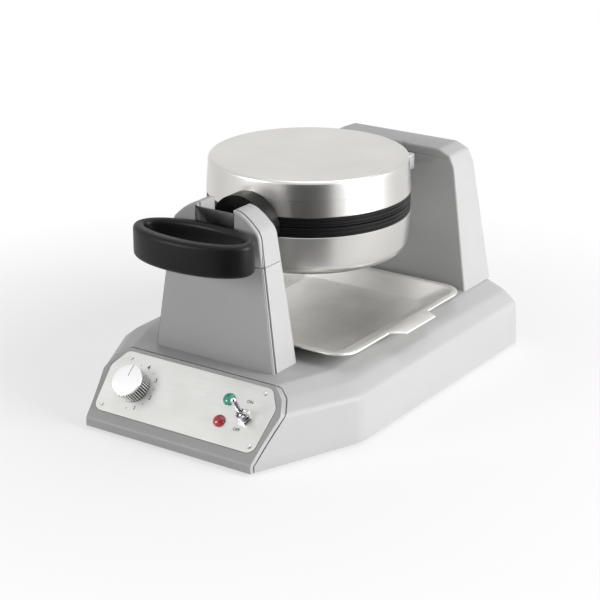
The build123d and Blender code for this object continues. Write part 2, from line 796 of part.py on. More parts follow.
def tower_frame():
    top = AXIS_Z + FRAME_TOP_RISE
    plate = block((-FRAME_HALF, FRAME_HALF), (FRAME_Y, FRAME_Y + FRAME_T), (DECK_Z, top))
    foot = block((-FRAME_HALF, FRAME_HALF), (FRAME_Y - 2 * BEARING_BLOCK_L, FRAME_Y + FRAME_T),
                 (DECK_Z, DECK_Z + FRAME_T))
    frame = plate + foot - rod_y(BEARING_BLOCK_R - BEARING_WALL, 0, BASE_LENGTH, z=AXIS_Z)
    for x, y in frame_screw_sites():
        frame = frame - Pos(x, y, DECK_Z - OVER) * rod(SCREW_R, FRAME_T + 2 * OVER)
    return frame


def bearing_block():
    housing = rod_y(BEARING_BLOCK_R, FRAME_Y - BEARING_BLOCK_L, FRAME_Y, z=AXIS_Z)
    spigot = rod_y(BEARING_BLOCK_R - BEARING_WALL, FRAME_Y, FRAME_Y + FRAME_T, z=AXIS_Z)
    bore = rod_y(SHAFT_R + BEARING_WALL, 0, BASE_LENGTH, z=AXIS_Z)
    return housing + spigot - bore


def rear_bush():
    outer = rod_y(SHAFT_R + BEARING_WALL, FRAME_Y - BEARING_BLOCK_L, FRAME_Y + FRAME_T, z=AXIS_Z)
    return outer - rod_y(SHAFT_R + SHAFT_FIT, 0, BASE_LENGTH, z=AXIS_Z)


def tower_screws():
    sites = [Pos(x, y, DECK_Z - WALL) * screw(SCREW_BITE) for x, y in tower_screw_sites()]
    sites += [Pos(x, y, DECK_Z - WALL) * screw(WALL + FRAME_T) for x, y in frame_screw_sites()]
    return group(sites)


# Underside
def bottom_pan():
    outline = base_block(WALL + PAN_GAP, PAN_Z)
    pan = outline & block((-SIDE_HALF, SIDE_HALF), (BEZEL_T + WALL, BASE_LENGTH), (PAN_Z, PAN_TOP_Z))
    for x, y in screw_sites():
        pan = pan - Pos(x, y + PAN_SCREW_SHIFT, PAN_Z - OVER) * rod(SCREW_R + SCREW_GAP, PAN_T + 2 * OVER)
        pan = pan - Pos(x, y, PAN_Z - OVER) * rod(SCREW_R, PAN_T + 2 * OVER)
    first = -(VENT_COUNT - 1) * VENT_PITCH / 2
    for i in range(VENT_COUNT):
        x = first + i * VENT_PITCH
        vent = block((x - VENT_W / 2, x + VENT_W / 2), (DRUM_Y, DRUM_Y + VENT_L), (0, DECK_Z / 2))
        pan = pan - vent
    return pan


def foot_sites():
    sites = screw_sites()
    return sites[:2] + sites[-2:]


def rubber_feet():
    feet = []
    for x, y in foot_sites():
        foot = Cone(FOOT_R - OVER, FOOT_R, PAN_Z, align=LOW)
        foot = foot - Pos(0, 0, -OVER) * rod(FOOT_RECESS_R, FOOT_RECESS_H + OVER)
        foot = foot - rod(SCREW_R + SCREW_GAP, PAN_Z + OVER)
        feet.append(Pos(x, y, 0) * foot)
    return group(feet)


def foot_screws():
    return group(Pos(x, y, FOOT_RECESS_H) * screw(PAN_TOP_Z - FOOT_RECESS_H + OVER) for x, y in foot_sites())


def pan_screws():
    return group(Pos(x, y + PAN_SCREW_SHIFT, PAN_Z) * screw(SCREW_BITE) for x, y in screw_sites())


def cord_gland():
    flange = rod_y(GLAND_R, BASE_LENGTH, BASE_LENGTH + GLAND_PROUD, GLAND_X, GLAND_Z)
    neck = rod_y(GLAND_NECK_R, BASE_LENGTH - WALL - GLAND_INNER, BASE_LENGTH, GLAND_X, GLAND_Z)
    bore = rod_y(GLAND_BORE_R, 0, BASE_LENGTH + 2 * GLAND_PROUD, GLAND_X, GLAND_Z)
    return flange + neck - bore


def terminal_block():
    x = (TERMINAL_X - TERMINAL_W / 2, TERMINAL_X + TERMINAL_W / 2)
    y = (TERMINAL_Y - TERMINAL_D / 2, TERMINAL_Y + TERMINAL_D / 2)
    return block(x, y, (PAN_TOP_Z, PAN_TOP_Z + TERMINAL_H))


# Drum halves, drawn upwards from the parting plane; the lower half is the mirrored one
def place_upper(shape):
    return Pos(0, DRUM_Y, AXIS_Z) * shape


def place_lower(shape):
    return Pos(0, DRUM_Y, AXIS_Z) * mirror(shape, Plane.XY)


def cup(inset, half):
    half_h, edge = half
    height = half_h - BAND_HALF_H - inset
    solid = Pos(0, 0, BAND_HALF_H) * Cone(RIM_R - inset, FACE_R - inset, height, align=LOW)
    top = solid.edges().filter_by(GeomType.CIRCLE).sort_by(Axis.Z)[-1]
    return fillet(top, max(edge - inset, SHELL_T))


def drum_shell(half):
    return cup(0, half) - cup(SHELL_T, half)


def drum_envelope(half):
    return cup(0, half) + rod(BAND_R, BAND_HALF_H)


def band_ring():
    inner = BAND_R - BAND_WALL
    ledge = BAND_R - BAND_LEDGE
    ring = rod(BAND_R, BAND_HALF_H) + Pos(0, 0, BAND_HALF_H) * rod(RIM_R - SHELL_T - 2 * SLIP, BAND_SPIGOT_H)
    ring = ring - Pos(0, 0, -OVER) * rod(inner, BAND_HALF_H + BAND_SPIGOT_H + 2 * OVER)
    ring = ring - rod(ledge, PARTING + LEDGE_DEPTH)
    return ring - Pos(0, 0, -OVER) * rod(BAND_R + OVER, OVER + PARTING)


def stud_sites():
    count = int(GRID_CAVITY_R / GRID_PITCH) + 1
    steps = [(i + 0.5) * GRID_PITCH for i in range(-count, count)]
    reach = GRID_CAVITY_R - STUD_FOOT * math.sqrt(2) / 2
    return [(x, y) for x in steps for y in steps if math.hypot(x, y) < reach]


def stud():
    foot_z = PARTING + GRID_CAVITY_DEPTH
    foot = Pos(0, 0, foot_z) * Rectangle(STUD_FOOT, STUD_FOOT)
    tip = Pos(0, 0, foot_z - STUD_HEIGHT) * Rectangle(STUD_TIP, STUD_TIP)
    return Solid.make_loft([foot.wire(), tip.wire()], ruled=True)


def grid_ring():
    ring = Pos(0, 0, PARTING) * rod(BAND_R - BAND_WALL - SLIP, GRID_CAVITY_DEPTH)
    ring = ring + Pos(0, 0, PARTING) * rod(BAND_R - BAND_LEDGE - SLIP, LEDGE_DEPTH)
    return ring - rod(GRID_CAVITY_R, PARTING + GRID_CAVITY_DEPTH + OVER)


def grid_plate():
    floor_z = PARTING + GRID_CAVITY_DEPTH
    plate = Pos(0, 0, floor_z) * rod(BAND_R - BAND_WALL - SLIP, GRID_FLOOR_T)
    ridge_end = GRID_CAVITY_R - SLIP
    ridge_z = (floor_z - STUD_HEIGHT, floor_z)
    ridge = block((-RIDGE_W / 2, RIDGE_W / 2), (-ridge_end, ridge_end), ridge_z)
    plate = plate + ridge + Rot(0, 0, 90) * ridge
    one = stud()
    plate = plate.fuse(*[Pos(x, y, 0) * one for x, y in stud_sites()])
    groove = Pos(0, 0, floor_z + GRID_FLOOR_T) * Torus(ELEMENT_R, ELEMENT_TUBE_R)
    return plate - groove


def heating_element():
    level = PARTING + GRID_CAVITY_DEPTH + GRID_FLOOR_T
    tube = Pos(ELEMENT_R, 0, level) * Rot(90, 0, 0) * Circle(ELEMENT_TUBE_R)
    return Rot(0, 0, -90 + (360 - ELEMENT_ARC) / 2) * revolve(tube, Axis.Z, ELEMENT_ARC)


def insulation_pad(half_h):
    low = PARTING + GRID_CAVITY_DEPTH + GRID_FLOOR_T + ELEMENT_TUBE_R
    return Pos(0, 0, low) * rod(PAD_R, half_h - SHELL_T - low)


# Front hub, journal, neck and handle
def clear_of_drum(shape, upper):
    envelope = place_upper(drum_envelope(UPPER)) if upper else place_lower(drum_envelope(LOWER))
    return shape - envelope


def half_space(upper):
    z = (AXIS_Z + PARTING, 2 * AXIS_Z) if upper else (0, AXIS_Z - PARTING)
    return block((-SIDE_HALF, SIDE_HALF), (0, BASE_LENGTH), z)


def hub_disc(upper):
    disc = rod_y(HUB_R, HUB_FRONT + HUB_STEP_H, DRUM_Y - FACE_R / 2, z=AXIS_Z)
    disc = disc + rod_y(HUB_STEP_R, HUB_FRONT, HUB_FRONT + HUB_STEP_H, z=AXIS_Z)
    return clear_of_drum(disc & half_space(upper), upper)


def lower_hub():
    journal = rod_y(JOURNAL_R, JOURNAL_FRONT, HUB_FRONT + OVER, z=AXIS_Z) & half_space(False)
    return hub_disc(False) + journal


def core_block(grow):
    low = AXIS_Z + CORE_LIFT - grow
    y = (LOOP_Y + LOOP_HALF_D - CORE_BURY - grow, HUB_FRONT + CORE_BURY + grow)
    return block((-CORE_HALF_W - grow, CORE_HALF_W + grow), y, (low, low + CORE_H + 2 * grow))


def upper_hub():
    return hub_disc(True) - core_block(0)


def handle_core():
    return core_block(0)


def ellipse_prism(half_w, half_d, y, half_h):
    outline = Pos(0, y, AXIS_Z - half_h) * Ellipse(half_w, half_d)
    return extrude(outline, 2 * half_h)


def handle_neck():
    z = (AXIS_Z + PARTING, AXIS_Z + NECK_H)
    bar = block((-NECK_HALF_W, NECK_HALF_W), (LOOP_Y, HUB_FRONT), z)
    bar = bar - ellipse_prism(LOOP_HALF_W, LOOP_HALF_D, LOOP_Y, LOOP_HALF_H)
    return bar - core_block(0)


def handle_loop():
    outer = ellipse_prism(LOOP_HALF_W, LOOP_HALF_D, LOOP_Y, LOOP_HALF_H)
    half_d = LOOP_HALF_D - (LOOP_FRONT_WALL + LOOP_BACK_WALL) / 2
    shift = (LOOP_FRONT_WALL - LOOP_BACK_WALL) / 2
    inner = ellipse_prism(LOOP_HALF_W - LOOP_SIDE_WALL, half_d, LOOP_Y + shift, LOOP_HALF_H + OVER)
    loop = outer - inner
    rims = [e for e in loop.edges() if abs(abs(e.center().Z - AXIS_Z) - LOOP_HALF_H) < SLIP]
    loop = fillet(rims, LOOP_EDGE_R)
    return loop - core_block(0)


# Rear hinge: yoke arms on the lower half, outer arms on the lid, one pin through all four
def arm(x_from, x_to, y, z):
    knuckle = rod_x(KNUCKLE_R, x_from, x_to, HINGE_Y, HINGE_Z)
    return knuckle + block((x_from, x_to), y, z)


def pin_hole(radius):
    return rod_x(radius, -SIDE_HALF, SIDE_HALF, HINGE_Y, HINGE_Z)


def hinge_yoke():
    z = (AXIS_Z - YOKE_DROP, AXIS_Z - YOKE_TOP_DROP)
    yoke = block((-YOKE_HALF_W, YOKE_HALF_W), (DRUM_Y + FACE_R / 2, YOKE_BACK), z)
    yoke = clear_of_drum(yoke, False)
    yoke = yoke + rod_y(SHAFT_BOSS_R, HINGE_Y + KNUCKLE_R + OVER, YOKE_BACK + SHAFT_BOSS_L, z=AXIS_Z)
    arm_y = (HINGE_Y - KNUCKLE_R / 2, HINGE_Y + KNUCKLE_R)
    arm_z = (AXIS_Z - YOKE_TOP_DROP - OVER, HINGE_Z)
    for low, high in ((YOKE_ARM_IN, YOKE_ARM_IN + YOKE_ARM_W), (-YOKE_ARM_IN - YOKE_ARM_W, -YOKE_ARM_IN)):
        yoke = yoke + arm(low, high, arm_y, arm_z)
    yoke = yoke - pin_hole(PIN_R)
    return yoke - rod_y(SHAFT_R, YOKE_BACK, BASE_LENGTH, z=AXIS_Z)


def lid_bracket():
    z = (AXIS_Z + LID_BRACKET_LOW, AXIS_Z + LID_BRACKET_TOP)
    back = HINGE_Y - LID_BRACKET_GAP
    bracket = block((-LID_BRACKET_HALF_W, LID_BRACKET_HALF_W), (DRUM_Y, back), z)
    bracket = clear_of_drum(bracket, True)
    start = YOKE_ARM_IN + YOKE_ARM_W + ARM_GAP
    arm_z = (HINGE_Z, HINGE_Z + KNUCKLE_R)
    for low, high in ((start, start + LID_ARM_W), (-start - LID_ARM_W, -start)):
        bracket = bracket + arm(low, high, (back - OVER, HINGE_Y), arm_z)
    return bracket - pin_hole(PIN_R + PIN_FIT)


def hinge_pin():
    reach = YOKE_ARM_IN + YOKE_ARM_W + ARM_GAP + LID_ARM_W + OVER
    return rod_x(PIN_R, -reach, reach, HINGE_Y, HINGE_Z)


def rotor_shaft():
    return rod_y(SHAFT_R, YOKE_BACK, FRAME_Y + FRAME_T + RETAINER_T + 2 * OVER, z=AXIS_Z)


def shaft_retainer():
    start = FRAME_Y + FRAME_T + SLIP
    ring = rod_y(RETAINER_R, start, start + RETAINER_T, z=AXIS_Z)
    return ring - rod_y(SHAFT_R, 0, BASE_LENGTH, z=AXIS_Z)


# Drip tray: a shallow pressed pan with a flange and a pull tab on the right
def tray_rect(grow, z, corner):
    width = TRAY_RIGHT - TRAY_LEFT + 2 * grow
    depth = TRAY_BACK - TRAY_FRONT + 2 * grow
    place = Pos((TRAY_LEFT + TRAY_RIGHT) / 2, (TRAY_FRONT + TRAY_BACK) / 2, z)
    return place * RectangleRounded(width, depth, corner)


def tray_bowl(wall, top_z, floor_z):
    mouth = tray_rect(-TRAY_FLANGE - wall, top_z, TRAY_CORNER_R - TRAY_FLANGE)
    floor = tray_rect(-TRAY_FLANGE - TRAY_WALL_RUN - wall, floor_z, TRAY_FLOOR_R)
    return Solid.make_loft([floor.wire(), mouth.wire()], ruled=True)


def drip_tray():
    rim = extrude(tray_rect(0, TRAY_RIM_Z - TRAY_T, TRAY_CORNER_R), TRAY_T)
    inner_x = TRAY_RIGHT - TRAY_FLANGE
    outer_x = TRAY_RIGHT + TAB_REACH
    corners = [
        (inner_x, TAB_FRONT - TAB_SLANT),
        (outer_x - TAB_REACH, TAB_FRONT - TAB_SLANT),
        (outer_x, TAB_FRONT),
        (outer_x, TAB_BACK),
        (outer_x - TAB_REACH, TAB_BACK + TAB_SLANT),
        (inner_x, TAB_BACK + TAB_SLANT),
    ]
    tab = extrude(Pos(0, 0, TRAY_RIM_Z - TRAY_T) * make_face(Polyline(*corners, close=True)), TRAY_T)
    bowl = tray_bowl(0, TRAY_RIM_Z, TRAY_BASE_Z)
    return rim + tab + bowl - tray_bowl(TRAY_T, TRAY_RIM_Z + OVER / 10, TRAY_BASE_Z + TRAY_T)


def build_nodes():
    return {
        "base_housing": base_housing(),
        "front_bezel": front_bezel(),
        "bottom_pan": bottom_pan(),
        "rubber_feet": rubber_feet(),
        "foot_screws": foot_screws(),
        "pan_screws": pan_screws(),
        "cord_gland": cord_gland(),
        "terminal_block": terminal_block(),
        "control_plate": control_plate(),
        "plate_rivets": plate_rivets(),
        "thermostat_body": thermostat_body(),
        "thermostat_nut": thermostat_nut(),
        "thermostat_stem": thermostat_stem(),
        "knob_skirt": knob_skirt(),
        "knob_cap": knob_cap(),
        "ready_lamp_body": lamp_body(READY_V),
        "ready_lamp_lens": lamp_lens(READY_V),
        "power_lamp_body": lamp_body(POWER_V),
        "power_lamp_lens": lamp_lens(POWER_V),
        "switch_body": switch_body(),
        "switch_nut": switch_nut(),
        "toggle_lever": toggle_lever(),
        "front_post_body": front_post_body(),
        "front_post_cover": front_post_cover(),
        "saddle_body": saddle_body(),
        "saddle_cover": saddle_cover(),
        "saddle_liner": saddle_liner(),
        "stop_blocks": stop_blocks(),
        "post_screws": post_screws(),
        "tower_shell": tower_shell(),
        "tower_panel": tower_panel(),
        "tower_frame": tower_frame(),
        "bearing_block": bearing_block(),
        "rear_bush": rear_bush(),
        "tower_screws": tower_screws(),
        "lower_shell": place_lower(drum_shell(LOWER)),
        "lower_band": place_lower(band_ring()),
        "lower_grid_plate": place_lower(grid_plate()),
        "lower_grid_ring": place_lower(grid_ring()),
        "lower_element": place_lower(heating_element()),
        "lower_insulation": place_lower(insulation_pad(LOWER_HALF_H)),
        "lower_hub": lower_hub(),
        "hinge_yoke": hinge_yoke(),
        "hinge_pin": hinge_pin(),
        "rotor_shaft": rotor_shaft(),
        "shaft_retainer": shaft_retainer(),
        "upper_shell": place_upper(drum_shell(UPPER)),
        "upper_band": place_upper(band_ring()),
        "upper_grid_plate": place_upper(grid_plate()),
        "upper_grid_ring": place_upper(grid_ring()),
        "upper_element": place_upper(heating_element()),
        "upper_insulation": place_upper(insulation_pad(UPPER_HALF_H)),
        "upper_hub": upper_hub(),
        "handle_core": handle_core(),
        "handle_neck": handle_neck(),
        "handle_loop": handle_loop(),
        "lid_bracket": lid_bracket(),
        "drip_tray": drip_tray(),
    }


os.makedirs("parts", exist_ok=True)
for node, shape in build_nodes().items():
    export_step(Pos(0, -REACH / 2, 0) * shape, f"parts/{node}.step")
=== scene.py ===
import json
import logging
import math
from collections.abc import Callable, Sequence
from dataclasses import dataclass
from enum import Enum

import bmesh
import bpy
from mathutils import Matrix, Vector


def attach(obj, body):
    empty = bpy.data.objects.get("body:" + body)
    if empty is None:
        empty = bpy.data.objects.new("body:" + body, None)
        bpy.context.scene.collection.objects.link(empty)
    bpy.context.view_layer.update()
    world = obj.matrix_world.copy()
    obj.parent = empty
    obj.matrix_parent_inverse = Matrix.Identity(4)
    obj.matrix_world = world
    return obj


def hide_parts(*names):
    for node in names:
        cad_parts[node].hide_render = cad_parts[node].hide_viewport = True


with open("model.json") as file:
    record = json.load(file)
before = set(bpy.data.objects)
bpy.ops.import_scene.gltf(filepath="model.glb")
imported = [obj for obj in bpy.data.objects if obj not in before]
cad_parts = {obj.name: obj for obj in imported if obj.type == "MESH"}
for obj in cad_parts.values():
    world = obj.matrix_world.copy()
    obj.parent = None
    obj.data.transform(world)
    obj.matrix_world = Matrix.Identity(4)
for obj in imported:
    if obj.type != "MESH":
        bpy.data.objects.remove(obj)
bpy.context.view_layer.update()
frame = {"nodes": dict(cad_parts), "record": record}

log = logging.getLogger("waffle_maker")

MM = 0.001
# Sizes are in millimetres. Y is written from the front lip, which is 221 mm ahead of the frame's origin.
FRONT_LIP = 221.0
DRUM_Y = 242.0
AXIS_Z = 190.0
# The nose slopes up from the lip to the deck, and the control plate lies on the slope.
LIP_TOP = 11.0
DECK_Z = 67.5
NOSE_RUN = 58.0
SLOPE = math.atan2(DECK_Z - LIP_TOP, NOSE_RUN)
PLATE_FACE = 0.6
DIAL_U, DIAL_V = -61.0, 42.5
# An edge whose unit direction has a part this large along an axis runs along that axis.
ALIGNED = 0.9
# Points of a CAD mesh that are nearer than this, in metres, are one point.
MERGE = 2e-6
# Faces that meet at less than this lie in one plane.
FLAT = math.radians(0.5)
# Edges that fold more than this can be rounded.
FOLD = math.radians(9)
# Edges that fold more than this are shaded sharp.
SHARP = math.radians(38)

Point = tuple[float, float, float]
Spot = tuple[float, float]
Profile = Sequence[Spot]


class Body(Enum):
    """The moving bodies of the machine."""

    BASE = "base"
    ROTOR = "rotor"
    LID = "lid"
    KNOB = "knob"
    TOGGLE = "toggle"
    TRAY = "tray"


class Slot(Enum):
    """The record's material slots."""

    CASING = "painted_casing"
    SHELL = "stainless_shell"
    TRAY = "tray_steel"
    PLATE = "faceplate_aluminium"
    PLATED = "plated_steel"
    CAST = "cast_aluminium"
    RESIN = "black_resin"
    RUBBER = "black_rubber"
    BRONZE = "bronze_bush"
    KNOB = "knob_metal"
    CHROME = "chrome_fitting"
    READY = "ready_lens"
    POWER = "power_lens"
    PHENOLIC = "phenolic"
    WOOL = "insulation_wool"


class Grain(Enum):
    """The way that a metal's brushing runs."""

    ALONG_X = (0.02, 1.0, 1.0)
    ALONG_Y = (1.0, 0.02, 1.0)
    NONE = (1.0, 1.0, 1.0)


def linear(code: str) -> tuple[float, float, float, float]:
    """Turns an sRGB hex colour to linear.

    Args:
        code: six hex digits.

    Returns:
        Red, green, blue and an alpha of one.
    """
    parts = [int(code[i : i + 2], 16) / 255 for i in (0, 2, 4)]
    r, g, b = (c / 12.92 if c <= 0.04045 else ((c + 0.055) / 1.055) ** 2.4 for c in parts)
    return r, g, b, 1.0


def add_node(
    tree: bpy.types.NodeTree,
    kind: str,
    values: dict[str | int, object] | None = None,
    links: dict[str | int, bpy.types.NodeSocket] | None = None,
    **settings: object,
) -> bpy.types.Node:
    """Adds a node with its settings, socket values and links.

    Args:
        tree: the tree that gets the node.
        kind: the node's type.
        values: socket name or number to value.
        links: socket name or number to the output that feeds it.
        **settings: the node's own properties.

    Returns:
        The new node.
    """
    node = tree.nodes.new(kind)
    for name, value in settings.items():
        setattr(node, name, value)
    for socket, value in (values or {}).items():
        node.inputs[socket].default_value = value
    for socket, source in (links or {}).items():
        tree.links.new(source, node.inputs[socket])
    return node


def new_material(name: str) -> tuple[bpy.types.Material, bpy.types.NodeTree, bpy.types.Node]:
    """Starts a node material.

    Args:
        name: the finish's name.

    Returns:
        The material, its tree, and the node that gives object coordinates.
    """
    material = bpy.data.materials.new(name)
    material.use_nodes = True
    tree = material.node_tree
    tree.nodes.clear()
    return material, tree, add_node(tree, "ShaderNodeTexCoord")


def close_material(
    tree: bpy.types.NodeTree,
    values: dict[str | int, object],
    links: dict[str | int, bpy.types.NodeSocket],
) -> None:
    """Adds the shader and the output.

    Args:
        tree: the material's tree.
        values: the shader's constants.
        links: the shader's linked sockets.
    """
    shader = add_node(tree, "ShaderNodeBsdfPrincipled", values, links)
    add_node(tree, "ShaderNodeOutputMaterial", links={"Surface": shader.outputs[0]})


# In each finish, spread is how far its pattern takes the roughness down and up, depth is the strength
# of its relief, and relief_mm is the relief's height.


@dataclass(frozen=True)
class SatinPaint:
    """Silver-grey powder paint on cast aluminium.

    It gives the eye a soft sheen over fine orange peel, which breaks up the highlights.
    """

    name: str = "satin_powder_paint"
    light: str = "aaaaaa"
    shade: str = "a3a3a3"
    roughness: float = 0.42
    peel_mm: float = 0.9
    cloud_mm: float = 60.0
    spread: Spot = (-0.05, 0.06)
    depth: float = 0.12
    relief_mm: float = 0.1
    sheen: float = 0.28

    def build(self) -> bpy.types.Material:
        """Builds the paint as a node material.

        Returns:
            The material.
        """
        material, tree, coords = new_material(self.name)
        cloud = add_node(tree, "ShaderNodeTexNoise", {"Scale": 1000 / self.cloud_mm, "Detail": 3.0},
                         {"Vector": coords.outputs["Object"]})
        peel = add_node(tree, "ShaderNodeTexNoise", {"Scale": 1000 / self.peel_mm, "Detail": 2.0},
                        {"Vector": coords.outputs["Object"]})
        tone = add_node(tree, "ShaderNodeMix", {6: linear(self.shade), 7: linear(self.light)},
                        {0: cloud.outputs[0]}, data_type="RGBA")
        rough = add_node(tree, "ShaderNodeMapRange",
                         {"To Min": self.roughness + self.spread[0],
                          "To Max": self.roughness + self.spread[1]},
                         {"Value": peel.outputs[0]})
        bump = add_node(tree, "ShaderNodeBump", {"Strength": self.depth, "Distance": self.relief_mm * MM},
                        {"Height": peel.outputs[0]})
        close_material(tree, {"Specular IOR Level": self.sheen},
                       {"Base Color": tone.outputs[2], "Roughness": rough.outputs[0],
                        "Normal": bump.outputs[0]})
        return material


@dataclass(frozen=True)
class BrushedMetal:
    """Straight-brushed sheet, or cast, plated or turned metal.

    It gives the eye fine lines along the brushing, which stretch each highlight across them.
    """

    name: str
    light: str
    shade: str
    roughness: float = 0.34
    grain: Grain = Grain.ALONG_X
    # Real brushing is about 0.05 mm, and is drawn coarser so that it shows in the render.
    line_mm: float = 0.5
    depth: float = 0.2
    cloud_mm: float = 45.5
    contrast: Spot = (0.1, 0.4)
    spread: Spot = (-0.06, 0.08)
    relief_mm: float = 0.05

    def build(self) -> bpy.types.Material:
        """Builds the metal as a node material.

        Returns:
            The material.
        """
        material, tree, coords = new_material(self.name)
        stretch = add_node(tree, "ShaderNodeMapping", {"Scale": self.grain.value},
                           {"Vector": coords.outputs["Object"]})
        lines = add_node(tree, "ShaderNodeTexNoise",
                         {"Scale": 1000 / self.line_mm, "Detail": 4.0, "Roughness": 0.6},
                         {"Vector": stretch.outputs[0]})
        cloud = add_node(tree, "ShaderNodeTexNoise", {"Scale": 1000 / self.cloud_mm, "Detail": 2.0},
                         {"Vector": coords.outputs["Object"]})
        blend = add_node(tree, "ShaderNodeMath", links={0: lines.outputs[0], 1: cloud.outputs[0]},
                         operation="MULTIPLY")
        spread = add_node(tree, "ShaderNodeMapRange",
                          {"From Min": self.contrast[0], "From Max": self.contrast[1]},
                          {"Value": blend.outputs[0]})
        tone = add_node(tree, "ShaderNodeMix", {6: linear(self.shade), 7: linear(self.light)},
                        {0: spread.outputs[0]}, data_type="RGBA")
        rough = add_node(tree, "ShaderNodeMapRange",
                         {"To Min": self.roughness + self.spread[0],
                          "To Max": self.roughness + self.spread[1]},
                         {"Value": lines.outputs[0]})
        bump = add_node(tree, "ShaderNodeBump", {"Strength": self.depth, "Distance": self.relief_mm * MM},
                        {"Height": lines.outputs[0]})
        close_material(tree, {"Metallic": 1.0},
                       {"Base Color": tone.outputs[2], "Roughness": rough.outputs[0],
                        "Normal": bump.outputs[0]})
        return material


@dataclass(frozen=True)
class SpunSteel:
    """Stainless sheet, spun and brushed round the drum's axis.

    It gives the eye faint rings that run round the drum and smear the highlights upright.
    """

    name: str = "spun_stainless"
    light: str = "d7d6d3"
    shade: str = "bdbcb8"
    roughness: float = 0.28
    # Real rings are about 0.1 mm apart, and are drawn coarser so that they show.
    ring_mm: float = 0.9
    cloud_mm: float = 71.4
    spread: Spot = (-0.04, 0.07)
    depth: float = 0.1
    relief_mm: float = 0.04
    centre: Point = (0.0, (DRUM_Y - FRONT_LIP) * MM, AXIS_Z * MM)

    def build(self) -> bpy.types.Material:
        """Builds the steel as a node material.

        Returns:
            The material.
        """
        material, tree, coords = new_material(self.name)
        centred = add_node(tree, "ShaderNodeMapping",
                           {"Location": tuple(-c for c in self.centre)},
                           {"Vector": coords.outputs["Object"]})
        flat = add_node(tree, "ShaderNodeVectorMath", {1: (1.0, 1.0, 0.0)}, {0: centred.outputs[0]},
                        operation="MULTIPLY")
        radius = add_node(tree, "ShaderNodeVectorMath", links={0: flat.outputs[0]}, operation="LENGTH")
        split = add_node(tree, "ShaderNodeSeparateXYZ", links={0: centred.outputs[0]})
        ring_place = add_node(tree, "ShaderNodeCombineXYZ",
                              links={0: radius.outputs["Value"], 1: split.outputs[2]})
        rings = add_node(tree, "ShaderNodeTexNoise",
                         {"Scale": 1000 / self.ring_mm, "Detail": 3.0, "Roughness": 0.55},
                         {"Vector": ring_place.outputs[0]})
        cloud = add_node(tree, "ShaderNodeTexNoise", {"Scale": 1000 / self.cloud_mm, "Detail": 2.0},
                         {"Vector": coords.outputs["Object"]})
        tone = add_node(tree, "ShaderNodeMix", {6: linear(self.shade), 7: linear(self.light)},
                        {0: cloud.outputs[0]}, data_type="RGBA")
        rough = add_node(tree, "ShaderNodeMapRange",
                         {"To Min": self.roughness + self.spread[0],
                          "To Max": self.roughness + self.spread[1]},
                         {"Value": rings.outputs[0]})
        bump = add_node(tree, "ShaderNodeBump", {"Strength": self.depth, "Distance": self.relief_mm * MM},
                        {"Height": rings.outputs[0]})
        close_material(tree, {"Metallic": 1.0},
                       {"Base Color": tone.outputs[2], "Roughness": rough.outputs[0],
                        "Normal": bump.outputs[0]})
        return material


@dataclass(frozen=True)
class MouldedPlastic:
    """Moulded phenolic resin, rubber or felt.

    It gives the eye a near black with a fine spark-eroded grain, which shines only softly.
    """

    name: str
    light: str
    shade: str
    roughness: float = 0.45
    grain_mm: float = 0.7
    depth: float = 0.25
    sheen: float = 0.5
    cloud_mm: float = 33.3
    spread: Spot = (-0.07, 0.09)
    relief_mm: float = 0.1

    def build(self) -> bpy.types.Material:
        """Builds the plastic as a node material.

        Returns:
            The material.
        """
        material, tree, coords = new_material(self.name)
        grain = add_node(tree, "ShaderNodeTexNoise", {"Scale": 1000 / self.grain_mm, "Detail": 3.0},
                         {"Vector": coords.outputs["Object"]})
        cloud = add_node(tree, "ShaderNodeTexNoise", {"Scale": 1000 / self.cloud_mm, "Detail": 3.0},
                         {"Vector": coords.outputs["Object"]})
        tone = add_node(tree, "ShaderNodeMix", {6: linear(self.shade), 7: linear(self.light)},
                        {0: cloud.outputs[0]}, data_type="RGBA")
        rough = add_node(tree, "ShaderNodeMapRange",
                         {"To Min": self.roughness + self.spread[0],
                          "To Max": self.roughness + self.spread[1]},
                         {"Value": cloud.outputs[0]})
        bump = add_node(tree, "ShaderNodeBump", {"Strength": self.depth, "Distance": self.relief_mm * MM},
                        {"Height": grain.outputs[0]})
        close_material(tree, {"Specular IOR Level": self.sheen},
                       {"Base Color": tone.outputs[2], "Roughness": rough.outputs[0],
                        "Normal": bump.outputs[0]})
        return material


